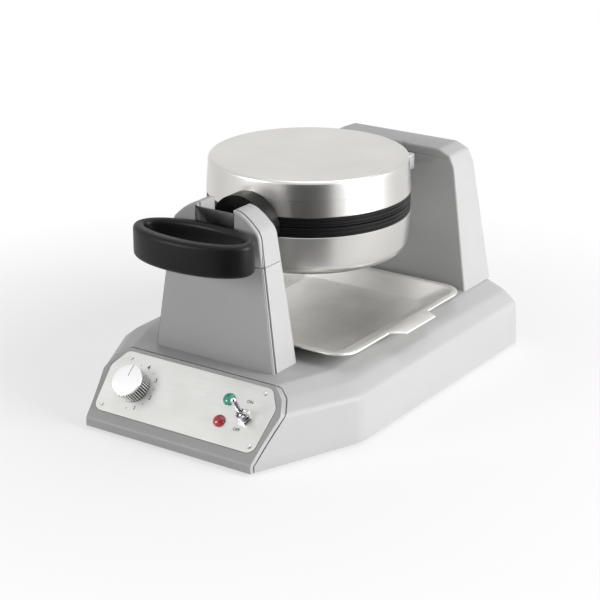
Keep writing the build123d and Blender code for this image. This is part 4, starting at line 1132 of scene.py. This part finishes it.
@dataclass
class ControlFace:
    """The brushed plate with its rivets, print, lamps and toggle switch."""

    rivets: tuple[Spot, ...] = ((-88.0, 17.3), (88.0, 17.3), (-79.5, 70.5), (79.5, 70.5))
    rivet_r: float = 2.2
    rivet_h: float = 0.7
    lamp_u: float = 46.0
    ready_v: float = 56.0
    power_v: float = 33.0
    lens_r: float = 6.3
    lens_h: float = 4.6
    switch_u: float = 69.7
    switch_v: float = 43.2
    tick_r: float = 22.8
    tick_half: Spot = (1.1, 0.22)
    tick_first: float = 99.0
    tick_step: float = -45.8
    tick_last: float = 201.0
    numbers: tuple[str, ...] = ("4", "3", "2", "1")
    number_r: float = 23.4
    number_size: float = 6.2
    word_size: float = 4.3
    on_at: Spot = (-1.1, 15.7)
    off_at: Spot = (-2.3, -13.7)
    print_t: float = 0.05
    print_bold: float = 0.1
    bushing_r: float = 5.6
    bushing_bore: float = 4.6
    bushing_h: float = 8.5
    thread_turns: int = 10
    nut_edge: float = 0.35
    pivot_h: float = 4.6
    lever_l: float = 24.0
    lever_tilt: float = 10.0
    ball_r: float = 3.58
    tip_r: float = 2.9

    def build(self, finishes: Finishes) -> None:
        """Builds the face's pieces.

        Args:
            finishes: the shared finishes.
        """
        plate = finishes.of(Slot.PLATE)
        heads = button_heads(plate, self.rivet_r, self.rivet_h)
        sites = [(u, v, PLATE_FACE + self.rivet_h / 2) for u, v in self.rivets]
        mesh = heads.grow("rivet_heads", fascia(0, 0), sites)
        Piece("rivet_heads", Body.BASE, Slot.PLATE, ("plate_rivets",)).put(mesh, plate)
        self.lens("ready_lens", self.ready_v, Slot.READY, "ready_lamp_lens", finishes)
        self.lens("power_lens", self.power_v, Slot.POWER, "power_lamp_lens", finishes)
        self.print_face(finishes)
        self.switch(finishes)

    def lens(self, name: str, v: float, slot: Slot, node: str, finishes: Finishes) -> None:
        """Adds one domed lens with a stepped rim.

        Args:
            name: the piece's name.
            v: its height up the sloped face.
            slot: its material slot.
            node: the CAD node that it stands for.
            finishes: the shared finishes.
        """
        r, h, step, shoulder = self.lens_r, self.lens_h, 0.5, 1.3
        skirt = [(0.0, 0.0), (r, 0.0), (r, shoulder - step), (r - step, shoulder)]
        dome = [((r - step) * math.cos(a), shoulder + (h - shoulder) * math.sin(a))
                for a in (math.radians(10 + 80 * i / 8) for i in range(9))]
        profile = skirt + dome[:-1] + [(0.0, h)]
        mesh = lathe(name, profile, fascia(self.lamp_u, v, PLATE_FACE), 48)
        Piece(name, Body.BASE, slot, (node,)).put(mesh, finishes.of(slot))

    def print_face(self, finishes: Finishes) -> None:
        """Adds the dial's ticks and numbers, and the switch's ON and OFF.

        Args:
            finishes: the shared finishes.
        """
        steps = range(len(self.numbers) + 1)
        angles = [self.tick_first + self.tick_step * i for i in steps] + [self.tick_last]
        points, faces = [], []
        for angle in angles:
            corners = self.tick(math.radians(angle))
            faces += [tuple(len(points) + k for k in f) for f in
                      ((0, 1, 2, 3), (4, 5, 6, 7), (0, 1, 5, 4), (1, 2, 6, 5), (2, 3, 7, 6), (3, 0, 4, 7))]
            points += corners
        ticks = Piece("dial_ticks", Body.BASE, Slot.PLATE)
        ticks.put(mesh_of("dial_ticks", points, faces), finishes.ink, False)
        for i, text in enumerate(self.numbers):
            a = math.radians(self.tick_first + self.tick_step * (i + 0.5))
            at = (DIAL_U + self.number_r * math.cos(a), DIAL_V + self.number_r * math.sin(a))
            self.word(text, "dial_" + text, at, self.number_size, finishes)
        for text, (u, v) in (("ON", self.on_at), ("OFF", self.off_at)):
            at = (self.switch_u + u, self.switch_v + v)
            self.word(text, "switch_" + text.lower(), at, self.word_size, finishes)

    def tick(self, a: float) -> list[Vector]:
        """Makes the corners of one printed tick.

        Args:
            a: its angle round the dial.

        Returns:
            The four corners on the plate, then the four on top of the ink.
        """
        out, side = Vector((math.cos(a), math.sin(a), 0)), Vector((-math.sin(a), math.cos(a), 0))
        middle = Vector((DIAL_U, DIAL_V, 0)) + self.tick_r * out
        reach, half = self.tick_half
        at = fascia(0, 0, PLATE_FACE)
        return [at @ (middle + Vector((0, 0, w)) + i * reach * out + j * half * side)
                for w in (0.0, self.print_t) for i, j in ((-1, -1), (1, -1), (1, 1), (-1, 1))]

    def word(self, text: str, name: str, at: Spot, size: float, finishes: Finishes) -> None:
        """Adds one printed word on the plate.

        Args:
            text: the word.
            name: the piece's name.
            at: its middle on the sloped face.
            size: its letters' size.
            finishes: the shared finishes.
        """
        curve = bpy.data.curves.new(name, "FONT")
        curve.body, curve.size = text, size
        curve.align_x, curve.align_y = "CENTER", "CENTER"
        curve.extrude, curve.offset = self.print_t / 2, self.print_bold
        mesh = baked(name, added(name + "_text", curve))
        mesh.transform(fascia(*at, PLATE_FACE + self.print_t / 2))
        Piece(name, Body.BASE, Slot.PLATE).put(mesh, finishes.ink, False)

    def switch(self, finishes: Finishes) -> None:
        """Adds the threaded bushing's top, the nut and the bat lever, all bright chrome.

        Args:
            finishes: the shared finishes.
        """
        chrome = finishes.of(Slot.CHROME)
        nut = softened("switch_nut", [Rounding(self.nut_edge, lambda p, d: True, 2)])
        Piece("switch_hex_nut", Body.BASE, Slot.CHROME, ("switch_nut",)).put(nut, chrome)
        top, r, bore = self.bushing_h, self.bushing_r, self.bushing_bore
        profile = [(bore, 0.0), (r, 0.0)]
        for i in range(self.thread_turns):
            z = (top - 0.5) * i / self.thread_turns
            profile += [(r - 0.05, z), (r + 0.28, z + 0.36)]
        profile += [(r, top - 0.3), (r - 0.3, top), (bore + 0.3, top), (bore + 0.15, top - 2.0)]
        mesh = lathe("switch_bushing", profile, fascia(self.switch_u, self.switch_v, PLATE_FACE), 64, True)
        Piece("switch_bushing", Body.BASE, Slot.CHROME).put(mesh, chrome)
        self.lever(chrome)

    def lever(self, chrome: bpy.types.Material) -> None:
        """Adds the bat lever, flared to a round tip.

        Args:
            chrome: its finish.
        """
        tilt = Matrix.Rotation(math.radians(-self.lever_tilt), 4, "X")
        at = fascia(self.switch_u, self.switch_v, PLATE_FACE + self.pivot_h) @ tilt
        top, ball_r, tip_r = self.lever_l, self.ball_r, self.tip_r
        ball = arc((0, 0), ball_r, -90, 62, 12)
        bat = [(1.7, 4.2), (1.75, 6.5), (2.1, 12.0), (2.5, 18.0), (tip_r - 0.05, top - 0.6)]
        tip = arc((0, top), tip_r, 0, 90, 8)
        profile = [(0.0, -ball_r)] + ball[1:] + bat + tip[:-1] + [(0.0, top + tip_r)]
        mesh = lathe("toggle_bat", profile, at, 48)
        Piece("toggle_bat", Body.TOGGLE, Slot.CHROME, ("toggle_lever",)).put(mesh, chrome)


@dataclass
class Knob:
    """The thermostat knob: a black skirt with bright ribs and a spun cap with one pointer."""

    low: float = PLATE_FACE + 0.6
    foot_r: float = 15.4
    neck_r: float = 14.7
    bore_r: float = 9.0
    skirt_h: float = 13.5
    cap_r: float = 16.3
    cap_t: float = 3.0
    cap_edge: float = 1.2
    rib_count: int = 40
    rib_r: float = 15.6
    rib_depth: float = 2.0
    rib_width: float = 0.95
    rib_short: float = 0.6
    rib_lift: float = 0.2
    pointer_deg: float = 88.0

    def build(self, finishes: Finishes) -> None:
        """Builds the knob's pieces.

        Args:
            finishes: the shared finishes.
        """
        at = fascia(DIAL_U, DIAL_V, self.low)
        h, foot, neck, bore = self.skirt_h, self.foot_r, self.neck_r, self.bore_r
        skirt = [(bore, 0.0), (foot - 0.3, 0.0), (foot, 0.3), (neck, h - 0.2), (neck, h), (bore, h)]
        grip = Piece("knob_grip", Body.KNOB, Slot.RESIN, ("knob_skirt",))
        grip.put(lathe("knob_grip", skirt, at, 96, True), finishes.of(Slot.RESIN))
        tall = h - self.rib_short
        ribs = rib_ring(finishes.rib, self.rib_count, self.rib_r, (self.rib_depth, self.rib_width, tall))
        mesh = ribs.grow("knob_ribs", fascia(DIAL_U, DIAL_V, self.low + self.rib_lift + tall / 2))
        Piece("knob_ribs", Body.KNOB, Slot.CHROME).put(mesh, finishes.rib, False)
        self.cap(finishes)

    def cap(self, finishes: Finishes) -> None:
        """Adds the spun cap, slightly domed.

        Args:
            finishes: the shared finishes, which take the cap's own metal.
        """
        at = fascia(DIAL_U, DIAL_V, self.low + self.skirt_h)
        r, t, edge = self.cap_r, self.cap_t, self.cap_edge
        profile = [(0.0, 0.0), (r, 0.0)] + arc((r - edge, t - edge - 0.5), edge, 0, 80, 6)
        profile += [(r * 0.6, t - 0.12), (0.0, t)]
        normal = (at.to_3x3() @ Vector((0, 0, 1))).normalized()
        angle = math.radians(self.pointer_deg)
        pointer = (at.to_3x3() @ Vector((math.cos(angle), math.sin(angle), 0))).normalized()
        metal = SpunCap("spun_knob_cap", at.translation, pointer, normal).build()
        finishes.by_slot[Slot.KNOB] = metal
        mesh = lathe("knob_spun_cap", profile, at, 96)
        Piece("knob_spun_cap", Body.KNOB, Slot.KNOB, ("knob_cap",)).put(mesh, metal)


@dataclass
class Drum:
    """One half of the round iron: its spun shell, ridged band and studded grid plate."""

    body: Body
    up: int
    edge: float
    half_h: float
    rim_r: float = 103.5
    face_r: float = 101.2
    band_r: float = 103.0
    band_h: float = 10.0
    band_in: float = 97.2
    wall: float = 1.2
    floor_z: float = 14.4
    plate_r: float = 96.7
    plate_t: float = 5.0
    stud_pitch: float = 19.0
    stud_reach: float = 77.5
    stud_foot: float = 12.0
    stud_tip: float = 8.0
    stud_h: float = 10.0

    def at(self) -> Matrix:
        """Returns the half's frame, whose Z points away from the parting plane."""
        return frame_at(place(0, DRUM_Y, AXIS_Z), Vector((0, 0, self.up)))

    def label(self, name: str) -> str:
        """Returns a piece's name with the half that it is on."""
        return ("upper_" if self.up > 0 else "lower_") + name

    def build(self, finishes: Finishes) -> None:
        """Builds the half's pieces.

        Args:
            finishes: the shared finishes.
        """
        self.turned("spun_shell", Slot.SHELL, "shell", self.shell_profile(), finishes)
        self.turned("ridged_band", Slot.RESIN, "band", self.band_profile(), finishes)
        low, high, r = self.floor_z, self.floor_z + self.plate_t, self.plate_r
        floor = [(0.0, low), (r, low), (r, high), (0.0, high)]
        cast = finishes.of(Slot.CAST)
        name = self.label("grid_floor")
        mesh = lathe(name, floor, self.at(), 128)
        Piece(name, self.body, Slot.CAST, (self.label("grid_plate"),)).put(mesh, cast)
        name = self.label("grid_studs")
        studs = waffle_studs(cast, self.stud_pitch, self.stud_reach, self.stud_foot, self.stud_tip,
                             self.stud_h)
        turned = self.at() @ Matrix.Translation((0, 0, self.floor_z)) @ Matrix.Rotation(math.pi, 4, "X")
        Piece(name, self.body, Slot.CAST).put(studs.grow(name, turned), cast, False)

    def turned(self, name: str, slot: Slot, node: str, profile: Profile, finishes: Finishes) -> None:
        """Adds one hollow piece that is turned about the drum's upright axis.

        Args:
            name: the piece's name, without its half.
            slot: its material slot.
            node: the CAD node that it stands for, without its half.
            profile: its closed section.
            finishes: the shared finishes.
        """
        name = self.label(name)
        mesh = lathe(name, profile, self.at(), 192, True)
        Piece(name, self.body, slot, (self.label(node),)).put(mesh, finishes.of(slot))

    def shell_profile(self) -> Profile:
        """Draws the shell's outer wall, rolled edge, face and inner wall.

        Returns:
            Radius and height of each point.
        """
        e, w, top = self.edge, self.wall, self.half_h
        tip = self.face_r - e
        outer = [(self.rim_r - 0.4, self.band_h + 0.1), (self.rim_r, self.band_h + 0.6)]
        outer += [(self.rim_r + (self.face_r - self.rim_r) * s, self.band_h + (top - e - self.band_h) * s)
                  for s in (0.25, 0.5, 0.75)]
        outer += arc((tip, top - e), e, 3, 87, 10)
        outer += [(tip * s, top) for s in (0.97, 0.8, 0.5, 0.2, 0.001)]
        inner = [(0.001, top - w), (tip, top - w)]
        inner += arc((tip - w, top - e - w), e, 87, 3, 4) + [(self.rim_r - w, self.band_h + 0.1)]
        return outer + inner

    def band_profile(self) -> Profile:
        """Draws the band's section with its raised ridges.

        Returns:
            Radius and height of each point.
        """
        r, ridge = self.band_r, self.band_r - 0.8
        low, high = 0.45, self.band_h - 0.05
        outer = [(self.band_in, low), (r - 0.5, low), (r, 0.9), (r, 2.2), (ridge, 2.7), (ridge, 3.9),
                 (r, 4.4), (r, 5.9), (ridge, 6.4), (ridge, 7.6), (r, 8.1), (r, 9.5), (r - 0.4, high)]
        tongue = r - 1.4
        return outer + [(tongue, high), (tongue, 15.0), (self.band_in, 15.0)]


@dataclass
class Handle:
    """The black loop handle and its neck."""

    y: float = 49.0
    half_w: float = 66.5
    half_d: float = 33.0
    half_h: float = 15.8
    side: float = 10.5
    front: float = 13.5
    back: float = 11.0
    corner: float = 4.6
    neck_soft: float = 1.4
    segments: int = 128

    def build(self, finishes: Finishes) -> None:
        """Builds the handle's pieces.

        Args:
            finishes: the shared finishes.
        """
        resin = finishes.of(Slot.RESIN)
        Piece("loop_grip", Body.LID, Slot.RESIN, ("handle_loop",)).put(self.loop(), resin)
        neck = softened("handle_neck", [Rounding(self.neck_soft, self.on_neck)])
        Piece("neck_grip", Body.LID, Slot.RESIN, ("handle_neck",)).put(neck, resin)

    def on_neck(self, p: Vector, d: Vector) -> bool:
        """Says whether an edge runs along the neck's top."""
        return p.z > AXIS_Z + 2.0 and abs(d.y) > ALIGNED

    def section(self, width: float) -> list[Spot]:
        """Makes the rounded section of the loop's wall.

        Args:
            width: the wall's width there.

        Returns:
            The share across the wall and the height of each point.
        """
        c, h = self.corner, self.half_h
        across = min(c, width / 2 - 0.2)
        corners = [(1, 1, 0), (-1, 1, 90), (-1, -1, 180), (1, -1, 270)]
        points = []
        for sx, sz, start in corners:
            for i in range(7):
                a = math.radians(start + 15 * i)
                x = sx * (width / 2 - across) + across * math.cos(a)
                points.append((x / width + 0.5, sz * (h - c) + c * math.sin(a)))
        return points

    def loop(self) -> bpy.types.Mesh:
        """Makes the loop, swept round between two ellipses.

        Returns:
            The mesh.
        """
        shift = (self.front - self.back) / 2
        in_w = self.half_w - self.side
        in_d = self.half_d - (self.front + self.back) / 2
        loops = []
        for step in range(self.segments):
            a = 2 * math.pi * step / self.segments
            outer = Vector((self.half_w * math.cos(a), self.y + self.half_d * math.sin(a)))
            inner = Vector((in_w * math.cos(a), self.y + shift + in_d * math.sin(a)))
            width = (outer - inner).length
            loops.append([place(*(inner.lerp(outer, s)), AXIS_Z + z) for s, z in self.section(width)])
        return rings("loop_grip", loops)


@dataclass
class Tray:
    """The pressed drip tray: a flange with a pull tab, soft shoulders and a flat floor."""

    left: float = -83.0
    right: float = 122.0
    front: float = 123.0
    back: float = 355.0
    rim_z: float = 81.8
    floor_z: float = 67.8
    gauge: float = 1.0
    flange: float = 7.0
    run: float = 22.0
    rise: float = 1.6
    shoulder_r: float = 5.0
    foot_r: float = 6.0
    foot_lap: float = 2.5
    corner: float = 24.0
    floor_corner: float = 15.0
    tab: float = 14.0
    tab_front: float = 211.0
    tab_back: float = 268.0
    tab_slant: float = 9.0

    def build(self, finishes: Finishes) -> None:
        """Builds the tray.

        Args:
            finishes: the shared finishes.
        """
        top = self.loops(self.profile(), 0.0)
        under = self.loops(self.profile(), self.gauge)
        count = len(top[0])
        points = [p for loop in top + under for p in loop]
        faces: list[tuple[int, ...]] = []
        rows = len(top)
        order = list(range(rows)) + list(range(2 * rows - 1, rows - 1, -1))
        for a, b in zip(order, order[1:] + order[:1]):
            if {a, b} == {rows - 1, 2 * rows - 1}:
                continue
            for i in range(count):
                j = (i + 1) % count
                faces.append((a * count + i, a * count + j, b * count + j, b * count + i))
        for row in (rows - 1, 2 * rows - 1):
            faces.append(tuple(range(row * count, (row + 1) * count)))
        mesh = mesh_of("pressed_tray", points, faces)
        Piece("pressed_tray", Body.TRAY, Slot.TRAY, ("drip_tray",)).put(mesh, finishes.of(Slot.TRAY))

    def profile(self) -> list[tuple[float, float, float]]:
        """Lists the loops of the tray's upper side, from the flange's edge to the floor.

        Returns:
            Inset, height and corner radius of each loop.
        """
        top, low = self.rim_z, self.floor_z + self.gauge
        f, c, rise = self.flange, self.corner, self.rise
        angle = math.atan2(top - low, self.run)
        steps = [(0.0, top - 0.7, c), (0.15, top - 0.2, c), (0.7, top, c), (f - rise, top, c - f + rise)]
        for share in (0.25, 0.5, 0.75, 1.0):
            a = angle * share
            steps.append((f - rise + self.shoulder_r * math.sin(a),
                          top - self.shoulder_r * (1 - math.cos(a)), c - f))
        foot = f + self.run + self.foot_lap
        for share in (1.0, 0.75, 0.5, 0.25, 0.0):
            a = angle * share
            steps.append((foot - self.foot_r * math.sin(a), low + self.foot_r * (1 - math.cos(a)),
                          self.floor_corner))
        return steps

    def loops(self, profile: Sequence[tuple[float, float, float]], down: float) -> list[list[Vector]]:
        """Turns each step of the profile to a rounded rectangle of points.

        Args:
            profile: inset, height and corner radius of each loop.
            down: how far the loops are lowered, for the underside.

        Returns:
            The loops, from the flange's edge inwards.
        """
        made = []
        for inset, z, radius in profile:
            x = (self.left + inset, self.right - inset)
            y = (self.front + inset, self.back - inset)
            bottom = max(z - down, self.floor_z)
            made.append([place(px, py, bottom) for px, py in self.outline(x, y, radius, inset)])
        return made

    def outline(self, x: Spot, y: Spot, radius: float, inset: float) -> list[Spot]:
        """Draws one rounded rectangle, with the tab's bulge where the loop is on the flange's edge.

        Args:
            x: its left and right sides.
            y: its front and back.
            radius: its corners' radius.
            inset: how far it lies inside the flange's edge.

        Returns:
            Its points, from the back right corner.
        """
        corners = [(x[1], y[1], 0), (x[0], y[1], 90), (x[0], y[0], 180), (x[1], y[0], 270)]
        points: list[Spot] = []
        for cx, cy, start in corners:
            mx = cx + (radius if cx == x[0] else -radius)
            my = cy + (radius if cy == y[0] else -radius)
            points += arc((mx, my), radius, start, start + 90, 8)
            if start == 270:
                side = self.right_side(points[-1][1], y[1] - radius)
                points += [(x[1] + self.bulge(v, inset), v) for v in side]
        return points

    def right_side(self, low: float, high: float) -> list[float]:
        """Lists the points along the right side, with each corner of the tab among them.

        Args:
            low: where the side starts.
            high: where it ends.

        Returns:
            The distance of each from the lip.
        """
        s = self.tab_slant
        wanted = [low + (self.tab_front - s - low) / 2, self.tab_front - s, self.tab_front - s / 2,
                  self.tab_front, self.tab_front + 2, (self.tab_front + self.tab_back) / 2,
                  self.tab_back - 2, self.tab_back, self.tab_back + s / 2, self.tab_back + s]
        return [v for v in wanted if low < v < high]

    def bulge(self, y: float, inset: float) -> float:
        """Works out how far the flange's edge stands out at a point of the right side.

        Args:
            y: the point's distance from the lip.
            inset: how far the loop lies inside the flange's edge.

        Returns:
            The distance.
        """
        if inset > 1.0:
            return 0.0
        rise = (y - (self.tab_front - self.tab_slant)) / self.tab_slant
        fall = (self.tab_back + self.tab_slant - y) / self.tab_slant
        return self.tab * max(0.0, min(1.0, rise, fall))


@dataclass
class RearHinge:
    """The cast bracket behind the lid."""

    edge: float = 3.0
    above_axis: float = 13.0
    arm_half: float = 62.0

    def build(self, finishes: Finishes) -> None:
        """Builds the bracket's softened casting.

        Args:
            finishes: the shared finishes.
        """
        bracket = softened("lid_bracket", [Rounding(self.edge, self.on_arm)])
        Piece("bracket_casting", Body.LID, Slot.CAST, ("lid_bracket",)).put(bracket, finishes.of(Slot.CAST))

    def on_arm(self, p: Vector, d: Vector) -> bool:
        """Says whether an edge is on the upper outer end of one of the bracket's arms."""
        return p.z > AXIS_Z + self.above_axis and abs(p.x) > self.arm_half


@dataclass
class Feet:
    """The four moulded rubber feet."""

    radius: float = 13.0
    height: float = 6.0
    sites: tuple[Spot, ...] = ((-88.0, 78.0), (88.0, 78.0), (-112.0, 385.0), (112.0, 385.0))

    def build(self, finishes: Finishes) -> None:
        """Builds the feet as one piece.

        Args:
            finishes: the shared finishes.
        """
        r, h = self.radius, self.height
        profile = [(5.0, 0.6), (5.4, 0.1), (r - 2.2, 0.0)] + arc((r - 1.9, 1.2), 1.2, -80, 0, 5)
        profile += [(r - 0.1, 4.4), (r, h - 0.4), (r - 0.4, h), (2.4, h), (2.4, 2.6), (5.0, 2.6)]
        joined = bmesh.new()
        for x, y in self.sites:
            one = lathe("foot", profile, upright(x, y, 0), 48, True)
            joined.from_mesh(one)
            bpy.data.meshes.remove(one)
        mesh = bpy.data.meshes.new("moulded_feet")
        joined.to_mesh(mesh)
        joined.free()
        Piece("moulded_feet", Body.BASE, Slot.RUBBER, ("rubber_feet",)).put(mesh, finishes.of(Slot.RUBBER))


@dataclass(frozen=True)
class SoftBox:
    """One square soft box."""

    name: str
    at: Point
    size: float
    power: float


@dataclass
class Studio:
    """The floor, lamps, world and camera, in the frame's metres."""

    boxes: tuple[SoftBox, ...] = (
        SoftBox("key_box", (2.4, 0.35, 0.75), 1.7, 104.0),
        SoftBox("front_box", (-1.3, -2.2, 0.8), 0.9, 30.0),
        SoftBox("top_box", (0.1, 0.5, 2.2), 1.4, 16.0),
    )
    target: Point = (0.0, 0.0, 0.1)
    eye: Point = (0.9978, -1.4705, 0.7500)
    ahead: Point = (-0.5245, 0.7758, -0.3507)
    lens_mm: float = 111.3
    sensor_mm: float = 36.0
    floor_half: float = 6.0
    floor_light: str = "f0f0f0"
    floor_shade: str = "ececec"
    patch_mm: float = 333.3
    near_share: float = 0.62
    fade_from: float = 0.28
    fade_to: float = 0.6
    soft_strength: float = 0.08
    flag_deg: float = 34.0
    flag_away: float = 0.36
    flag_half: float = 0.15
    flag_h: float = 0.3

    def build(self) -> None:
        """Builds the studio."""
        self.camera()
        self.floor()
        self.world()
        for box in self.boxes:
            self.lamp(box)
        self.flag()

    def camera(self) -> None:
        """Sets the camera at the photograph's angle."""
        data = bpy.data.cameras.new("camera")
        data.lens, data.sensor_width = self.lens_mm, self.sensor_mm
        data.clip_start, data.clip_end = 0.05, 50.0
        camera = added("camera", data)
        camera.location = self.eye
        camera.rotation_euler = Vector(self.ahead).to_track_quat("-Z", "Y").to_euler()
        bpy.context.scene.camera = camera

    def flag(self) -> None:
        """Adds the dark cloth in front of the machine that draws the dark band down shiny metal."""
        a = math.radians(self.flag_deg)
        side, out = Vector((math.cos(a), math.sin(a), 0.0)), Vector((math.sin(a), -math.cos(a), 0.0))
        middle = place(0, DRUM_Y, 0) + out * self.flag_away
        corners = ((-1, 0.002), (1, 0.002), (1, self.flag_h), (-1, self.flag_h))
        points = [middle + side * i * self.flag_half + Vector((0, 0, z)) for i, z in corners]
        mesh = bpy.data.meshes.new("dark_flag")
        mesh.from_pydata([tuple(p) for p in points], [], [(0, 1, 2, 3)])
        mesh.materials.append(MouldedPlastic("black_flag_cloth", "5a5a5a", "505050", 0.95, 3.0).build())
        card = added("dark_flag", mesh)
        card.visible_camera = False
        card.visible_diffuse = False
        card.visible_shadow = False

    def floor(self) -> None:
        """Adds the pale floor, which keeps the shadow round the object and fades to white away from it."""
        h = self.floor_half
        mesh = bpy.data.meshes.new("floor")
        mesh.from_pydata([(-h, -h, 0), (h, -h, 0), (h, h, 0), (-h, h, 0)], [], [(0, 1, 2, 3)])
        material, tree, coords = new_material("studio_sweep")
        tone = add_node(tree, "ShaderNodeTexNoise", {"Scale": 1000 / self.patch_mm},
                        {"Vector": coords.outputs["Object"]})
        colour = add_node(tree, "ShaderNodeMix",
                          {6: linear(self.floor_shade), 7: linear(self.floor_light)},
                          {0: tone.outputs[0]}, data_type="RGBA")
        matt = add_node(tree, "ShaderNodeBsdfDiffuse", links={"Color": colour.outputs[2]})
        white = add_node(tree, "ShaderNodeEmission", {"Color": (1, 1, 1, 1), "Strength": 1.0})
        away = add_node(tree, "ShaderNodeVectorMath", links={0: coords.outputs["Object"]},
                        operation="LENGTH")
        fade = add_node(tree, "ShaderNodeMapRange",
                        {"From Min": self.fade_from, "From Max": self.fade_to,
                         "To Min": self.near_share, "To Max": 1.0},
                        {"Value": away.outputs["Value"]})
        share = add_node(tree, "ShaderNodeMath", links={0: fade.outputs[0], 1: self.seen_rays(tree)},
                         operation="MULTIPLY")
        mixed = add_node(tree, "ShaderNodeMixShader", links={0: share.outputs[0], 1: matt.outputs[0],
                                                              2: white.outputs[0]})
        add_node(tree, "ShaderNodeOutputMaterial", links={"Surface": mixed.outputs[0]})
        mesh.materials.append(material)
        added("floor", mesh)

    def seen_rays(self, tree: bpy.types.NodeTree) -> bpy.types.NodeSocket:
        """Tells the rays of the camera and of shiny and clear surfaces from the rest.

        Args:
            tree: the tree that gets the nodes.

        Returns:
            The output that is one for those rays and zero for the others.
        """
        rays = add_node(tree, "ShaderNodeLightPath")
        shown = add_node(tree, "ShaderNodeMath", operation="MAXIMUM",
                         links={0: rays.outputs["Is Camera Ray"], 1: rays.outputs["Is Glossy Ray"]})
        every = add_node(tree, "ShaderNodeMath", operation="MAXIMUM",
                         links={0: shown.outputs[0], 1: rays.outputs["Is Transmission Ray"]})
        return every.outputs[0]

    def world(self) -> None:
        """Sets a soft even world that the camera and shiny metal see as white."""
        world = bpy.data.worlds.new("studio_world")
        world.use_nodes = True
        bpy.context.scene.world = world
        tree = world.node_tree
        tree.nodes.clear()
        white = add_node(tree, "ShaderNodeBackground", {"Color": (1, 1, 1, 1), "Strength": 1.0})
        soft = add_node(tree, "ShaderNodeBackground",
                        {"Color": (1, 1, 1, 1), "Strength": self.soft_strength})
        mixed = add_node(tree, "ShaderNodeMixShader", links={0: self.seen_rays(tree), 1: soft.outputs[0],
                                                              2: white.outputs[0]})
        add_node(tree, "ShaderNodeOutputWorld", links={"Surface": mixed.outputs[0]})

    def lamp(self, box: SoftBox) -> None:
        """Adds one soft box that faces the machine.

        Args:
            box: its name, place, size and power.
        """
        data = bpy.data.lights.new(box.name, "AREA")
        data.shape, data.size, data.energy = "SQUARE", box.size, box.power
        lamp = added(box.name, data)
        lamp.location = box.at
        ahead = Vector(self.target) - Vector(box.at)
        lamp.rotation_euler = ahead.to_track_quat("-Z", "Y").to_euler()


def dress_nodes(finishes: Finishes) -> None:
    """Gives every CAD node its slot's finish.

    Args:
        finishes: the shared finishes.
    """
    for part in frame["record"]["subparts"]:
        node = frame["nodes"][part["node"]]
        material = finishes.of(Slot(part["material_slot"]))
        node.data.materials.clear()
        node.data.materials.append(material)


def main() -> None:
    """Builds the machine and its studio."""
    logging.basicConfig(level=logging.INFO, format="%(name)s %(message)s")
    bpy.context.scene.view_settings.view_transform = "Standard"
    finishes = Finishes()
    upper = Drum(Body.LID, up=1, edge=3.5, half_h=45.5)
    lower = Drum(Body.ROTOR, up=-1, edge=12.0, half_h=51.0)
    parts = [Casing(), ControlFace(), Knob(), upper, lower, Handle(), Tray(), RearHinge(), Feet()]
    for part in parts:
        log.info("building %s", type(part).__name__)
        part.build(finishes)
    dress_nodes(finishes)
    Studio().build()


if __name__ == "__main__":
    main()
